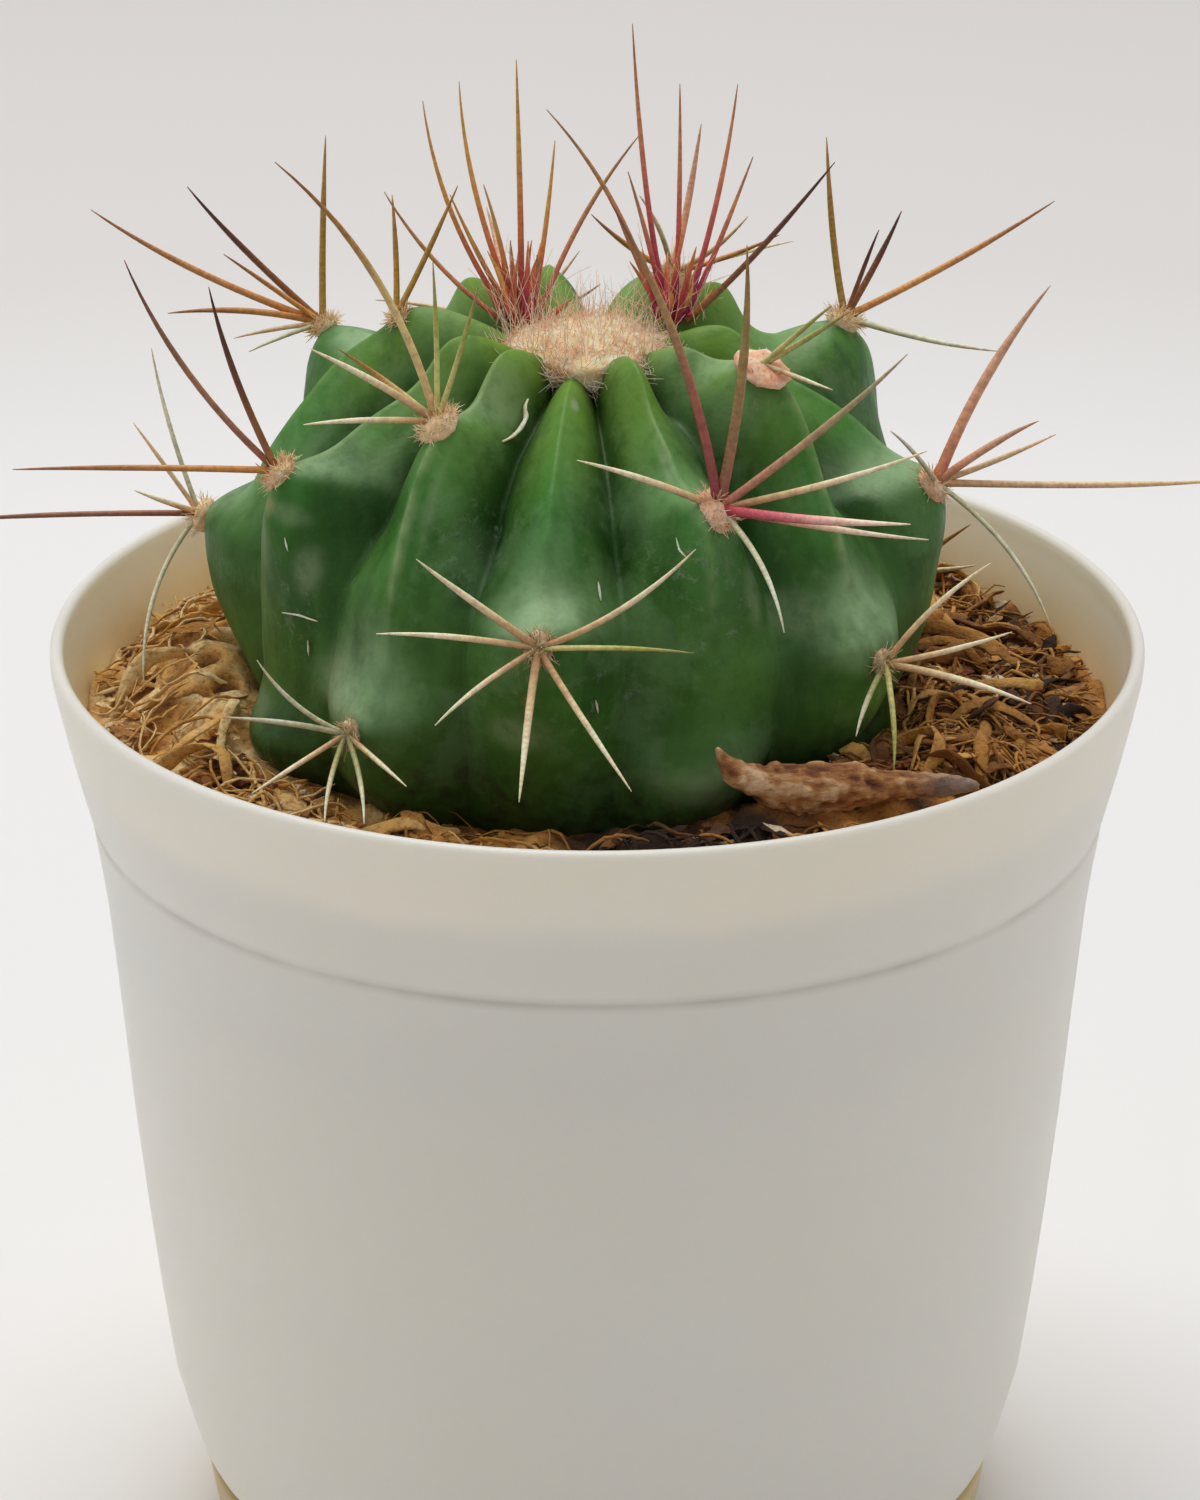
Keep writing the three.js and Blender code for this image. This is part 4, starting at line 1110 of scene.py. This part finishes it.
def make_soil(material):
    columns, rows = 420, 60
    azimuth, share = np.meshgrid(np.arange(columns) * 360 / columns, np.linspace(0, 1, rows))
    inner = plant_reach(azimuth, FOOT) - 3.0
    outer = wall_radius(SOIL_Z)
    radius = inner + (outer - inner) * share
    x, y = radius * np.sin(np.radians(azimuth)), -radius * np.cos(np.radians(azimuth))
    place = in_plane(x, y)
    sheet = sheet_share(azimuth)
    rough = 1.1 * noise(place, 5.5, 11) + 0.5 * noise(place, 2.2, 12)
    rough = rough * (1 + 0.5 * sheet) + 0.3 * noise(place, 0.9, 13) * (1 - 0.5 * sheet)
    z = soil_height(x, y) - 0.8 + rough * smoothstep(1 - share, 0, 0.05)
    rng = np.random.default_rng(5)
    pit = np.zeros_like(x)
    for _ in range(PITS):
        at = math.radians(rng.normal(HUSK_SHEET_AZIMUTH, 30))
        reach, size = rng.uniform(40, 54), rng.uniform(0.7, 1.5)
        away = np.hypot(x - reach * math.sin(at), (y + reach * math.cos(at)) * rng.uniform(0.7, 1.2)) / size
        pit = np.maximum(pit, np.exp(-away ** 4))
    for at_x, at_y, size in HOLES:
        pit = np.maximum(pit, np.exp(-(np.hypot(x - at_x, y - at_y) / size) ** 4))
    top = np.stack([x, y, z - PIT_DEPTH * pit], -1)
    low = wall_radius(SOIL_BOTTOM_Z)
    around = np.stack([np.sin(np.radians(azimuth[0])), -np.cos(np.radians(azimuth[0]))], -1)
    bottom = [np.column_stack([around * r, np.full(columns, SOIL_BOTTOM_Z)]) for r in (low, inner[:1].T)]
    points = np.concatenate([top.reshape(-1, 3), *bottom])
    faces = []
    for r in range(rows + 2):
        row, below = r * columns, (r + 1) % (rows + 2) * columns
        for c in range(columns):
            d = (c + 1) % columns
            faces.append((row + c, below + c, below + d, row + d))
    tone = husk_tone(points[:, 0], points[:, 1]) + 0.14 * noise(points, 1.4, 15)
    # painted shade and highlight: the pits are darkened and the raised bumps lightened
    tone[:x.size] += -0.8 * pit.ravel() + ((0.1 + 0.16 * sheet) * rough).ravel()
    builder = Builder()
    builder.add(points, faces, tint=along_colours(HUSK, np.clip(tone, 0, 1)))
    piece = builder.build("soil_bed", material)
    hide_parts("soil")


def open_place(x, y, margin):
    """True where a piece on the soil is clear of the pot's wall, the plant and the bark."""
    radius, azimuth = math.hypot(x, y), math.degrees(math.atan2(x, -y))
    if radius > SOIL_WALL_RADIUS - margin or radius < plant_reach(azimuth, GIRTH) + margin:
        return False
    start, end = np.array(BARK_FROM[:2]), np.array(BARK_TO[:2])
    span = end - start
    t = np.clip(np.dot(np.array([x, y]) - start, span) / np.dot(span, span), 0, 1)
    return np.linalg.norm(np.array([x, y]) - start - t * span) > BARK_RADIUS + margin * 0.4


def random_place(rng, margin):
    """A free place on the soil; few pieces lie in front of the plant, or on the sheet of husk at the left."""
    while True:
        azimuth, radius = rng.uniform(-180, 180), math.sqrt(rng.uniform(28 ** 2, SOIL_WALL_RADIUS ** 2))
        bare = BARE_AZIMUTHS[0] < azimuth < BARE_AZIMUTHS[1] or (
            abs(azimuth - HUSK_SHEET_AZIMUTH) < BARE_SHEET[0] and radius < BARE_SHEET[1])
        if bare and rng.uniform() < BARE_REJECTION:
            continue
        x, y = radius * math.sin(math.radians(azimuth)), -radius * math.cos(math.radians(azimuth))
        if open_place(x, y, margin):
            return x, y


CHIP_COLOURS = ("8a4c2a", "b07c48", "d8ae74", "f0dcb8", "5a3a20")


def make_chips(material, count):
    """Flat splinters and crumbs of husk."""
    rng = np.random.default_rng(21)
    builder = Builder()
    sides, steps = 6, 6
    for _ in range(count):
        length = rng.choice([1.8, 3.6, 6.5], p=[0.5, 0.35, 0.15]) * rng.uniform(0.7, 1.3)
        x, y = random_place(rng, 0.45 * length + 0.6)
        heading, pitch = rng.uniform(0, 2 * math.pi), rng.normal() * 0.22
        ahead = math.cos(pitch)
        way = np.array([math.cos(heading) * ahead, math.sin(heading) * ahead, math.sin(pitch)])
        along = np.linspace(-0.5, 0.5, steps)
        base = np.array([x, y, soil_height(x, y) + rng.uniform(-0.6, 0.5)])
        bend = rng.normal(size=3) * 0.07 * length
        path = base + np.outer(along * length, way) + np.outer(4 * along ** 2, bend)
        width = rng.uniform(0.35, 1.1) * (0.7 + 0.06 * length)
        radii = width * (1 - (2 * np.abs(along)) ** 3 * 0.75) * (1 + 0.25 * rng.normal(size=steps))
        points, faces = tube(path, np.maximum(radii, 0.12), sides, across=unit(np.cross(way, UP)),
                             flat=rng.uniform(0.2, 0.5))
        points += 0.1 * rng.normal(size=points.shape)
        if rng.uniform() < 0.3:
            tint = np.tile(linear(CHIP_COLOURS[rng.integers(len(CHIP_COLOURS))]), (len(points), 1))
        else:
            tone = float(husk_tone(x, y)) + rng.normal() * 0.17
            tint = along_colours(HUSK, np.clip(tone + 0.05 * rng.normal(size=len(points)), 0, 1))
        builder.add(points, faces, tint=tint)
    builder.build("husk_chips", material, smooth=False)


def strand(rng, x, y, length, steps, lift, turning, margin):
    """A curling path over the soil, or None where there is no room for it."""
    heading = rng.uniform(0, 2 * math.pi)
    path = []
    for k in range(steps):
        if not open_place(x, y, margin):
            break
        hump = lift * math.sin(math.pi * k / (steps - 1)) + rng.normal() * 0.1
        path.append((x, y, soil_height(x, y) + hump))
        heading += turning + rng.normal() * 0.12
        x += length / steps * math.cos(heading)
        y += length / steps * math.sin(heading)
    return np.array(path) if len(path) >= 5 else None


def make_fibres(name, material, count, seed, width, length, lift, turning, sides, flat):
    """Curled strands of husk that lie over each other."""
    rng = np.random.default_rng(seed)
    builder = Builder()
    for _ in range(count):
        x, y = random_place(rng, 2.0)
        run, hump, bend = rng.uniform(*length), rng.uniform(*lift), rng.normal() * turning
        path = strand(rng, x, y, run, 12, hump, bend, width[1] + 0.3)
        if path is None:
            continue
        span = np.linspace(-1, 1, len(path))
        radii = rng.uniform(*width) * (1 - 0.6 * span ** 4) * (1 + 0.12 * rng.normal(size=len(path)))
        tilt = unit(np.array([rng.normal() * 0.6, rng.normal() * 0.6, 1.0]))
        points, faces = tube(path, radii, sides, across=np.cross(path[1] - path[0], tilt), flat=flat)
        tone = float(husk_tone(x, y)) + rng.normal() * 0.15 + 0.1
        tint = along_colours(HUSK, np.clip(tone + 0.12 * noise(points, 2.0, 16), 0, 1))
        builder.add(points, faces, tint=tint)
    builder.build(name, material)


BARK_SPINE = [  # along the bark: x, y, z and radius
    (12.4, -41.3, 112.6, 0.2), (13.1, -41.1, 111.1, 0.8), (14.5, -40.7, 109.4, 1.5), (17, -40, 108, 2.1),
    (20.5, -39.3, 107.3, 2.55), (24, -38.7, 107.1, 2.35), (27, -38.1, 106.9, 2.3), (30.5, -37.5, 106.7, 1.7),
    (34.5, -36.8, 106.4, 1.35), (38.4, -36.1, 106.2, 0.95), (39.6, -35.9, 106.1, 0.5),
]


def make_bark(material):
    steps, sides = 130, 52
    knots = np.array(BARK_SPINE)
    run = np.concatenate([[0], np.cumsum(np.linalg.norm(np.diff(knots[:, :3], axis=0), axis=1))])
    along = np.linspace(0, run[-1], steps)
    path = np.stack([np.interp(along, run, knots[:, i]) for i in range(3)], -1)
    radii = np.interp(along, run, knots[:, 3])
    soften(path, 4)
    soften(radii, 4)
    points, faces = tube(path, radii, sides, across=np.array([0, 0, 1.0]), flat=0.9)
    outward = unit(points - round_tube(path, sides))
    rough = 0.2 * noise(points, 2.6, 30) + 0.17 * noise(points * (0.4, 1, 1), 1.1, 31)
    rough = rough + 0.1 * noise(points, 0.6, 32)
    points = points + outward * (rough * round_tube(radii, sides))[:, None]
    grey = round_tube(smoothstep(along / run[-1], 0.7, 1), sides)[:, None]
    builder = Builder()
    # the ridges' height, which the material also uses to paint the crevices darker and the ridges lighter
    builder.add(points, faces, weathered=grey, ridge=(0.5 + rough * 1.4)[:, None])
    piece = builder.build("bark", material)
    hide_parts("bark_piece")


# Pot and dish


def make_pot(material):
    rim = [(RIM_RADIUS - LIP_RADIUS + LIP_RADIUS * math.cos(a), RIM_Z - LIP_RADIUS + LIP_RADIUS * math.sin(a))
           for a in np.linspace(0.15, math.pi - 0.15, 9)]
    outline = np.array([*POT_FOOT, *POT_OUTSIDE, *rim, *POT_INSIDE, *POT_FLOOR], float)
    height = outline[:, 1]
    within = np.arange(len(outline)) >= len(POT_FOOT) + len(POT_OUTSIDE) + len(rim)
    # where the inside wall takes the painted warm bounce tint
    inside = within * (1 - smoothstep(height, 98, 107))
    # the groove's line, which the material paints darker as shade
    seam = ~within * np.exp(-((height - GROOVE_Z) / 0.5) ** 2)
    pot = lathe("pot_shell", outline, material, "pot", inside=inside, seam=seam)
    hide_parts("pot")


def make_dish(material):
    dish = lathe("dish", DISH, material, "dish")
    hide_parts("base_dish")


# Stage


FLOOR_REACH = 6.0
WORLD_COLOUR = (0.93, 0.95, 1.0, 1)
WORLD_STRENGTH = 0.45
LIGHTS_AIM = (0, 0, 0.11)
LIGHTS = {  # place and width in metres, power in watts, colour
    "top_softbox": ((-0.1, 0.3, 1.15), 0.9, 7, (1.0, 0.985, 0.96)),
    "left_window": ((-1.1, 0.1, 0.7), 0.7, 1.6, (0.98, 0.99, 1.0)),
    "right_window": ((1.1, 0.2, 0.7), 0.7, 1.2, (1.0, 0.99, 0.97)),
}


def make_stage():
    mesh = bpy.data.meshes.new("floor")
    corners = [(-FLOOR_REACH, -FLOOR_REACH, 0), (FLOOR_REACH, -FLOOR_REACH, 0),
               (FLOOR_REACH, FLOOR_REACH, 0), (-FLOOR_REACH, FLOOR_REACH, 0)]
    mesh.from_pydata(corners, [], [(0, 1, 2, 3)])
    mesh.materials.append(floor_material())
    floor = new_object("floor", mesh)

    world = bpy.data.worlds.new("studio")
    world.use_nodes = True
    background = world.node_tree.nodes["Background"].inputs
    background["Color"].default_value = WORLD_COLOUR
    background["Strength"].default_value = WORLD_STRENGTH
    bpy.context.scene.world = world
    for name, (place, width, power, colour) in LIGHTS.items():
        data = bpy.data.lights.new(name, "AREA")
        data.shape, data.size, data.energy, data.color = "DISK", width, power, colour
        light = new_object(name, data)
        light.location = place
        light.rotation_euler = (Vector(LIGHTS_AIM) - Vector(place)).to_track_quat("-Z", "Y").to_euler()

    data = bpy.data.cameras.new("camera")
    data.lens, data.sensor_fit, data.sensor_height = LENS, "VERTICAL", SENSOR
    camera = new_object("camera", data)
    target = Vector(CAMERA_TARGET) * MM
    back = Vector((0, -math.cos(VIEW), math.sin(VIEW)))
    camera.location = target + back * CAMERA_DISTANCE * MM
    camera.rotation_euler = (-back).to_track_quat("-Z", "Y").to_euler()
    bpy.context.scene.camera = camera
    bpy.context.scene.view_settings.view_transform = "Standard"


make_stage()
make_pot(plastic_material())
make_dish(dish_material())
make_body(skin_material())
horn = horn_material()
make_areoles(horn)
make_threads(horn)
make_crown(horn, wool_material())
husk = husk_material("husk", "8a6444")
make_soil(husk_material("soil", "704a2c"))
make_chips(husk, count=1300)
make_fibres("husk_fibres", husk, count=1150, seed=22, width=(0.09, 0.26), length=(6, 17), lift=(0.2, 1.8),
            turning=0.2, sides=5, flat=0.7)
make_fibres("husk_strips", husk, count=170, seed=23, width=(0.5, 1.15), length=(7, 20), lift=(0.6, 3.0),
            turning=0.2, sides=8, flat=0.28)
make_bark(bark_material())
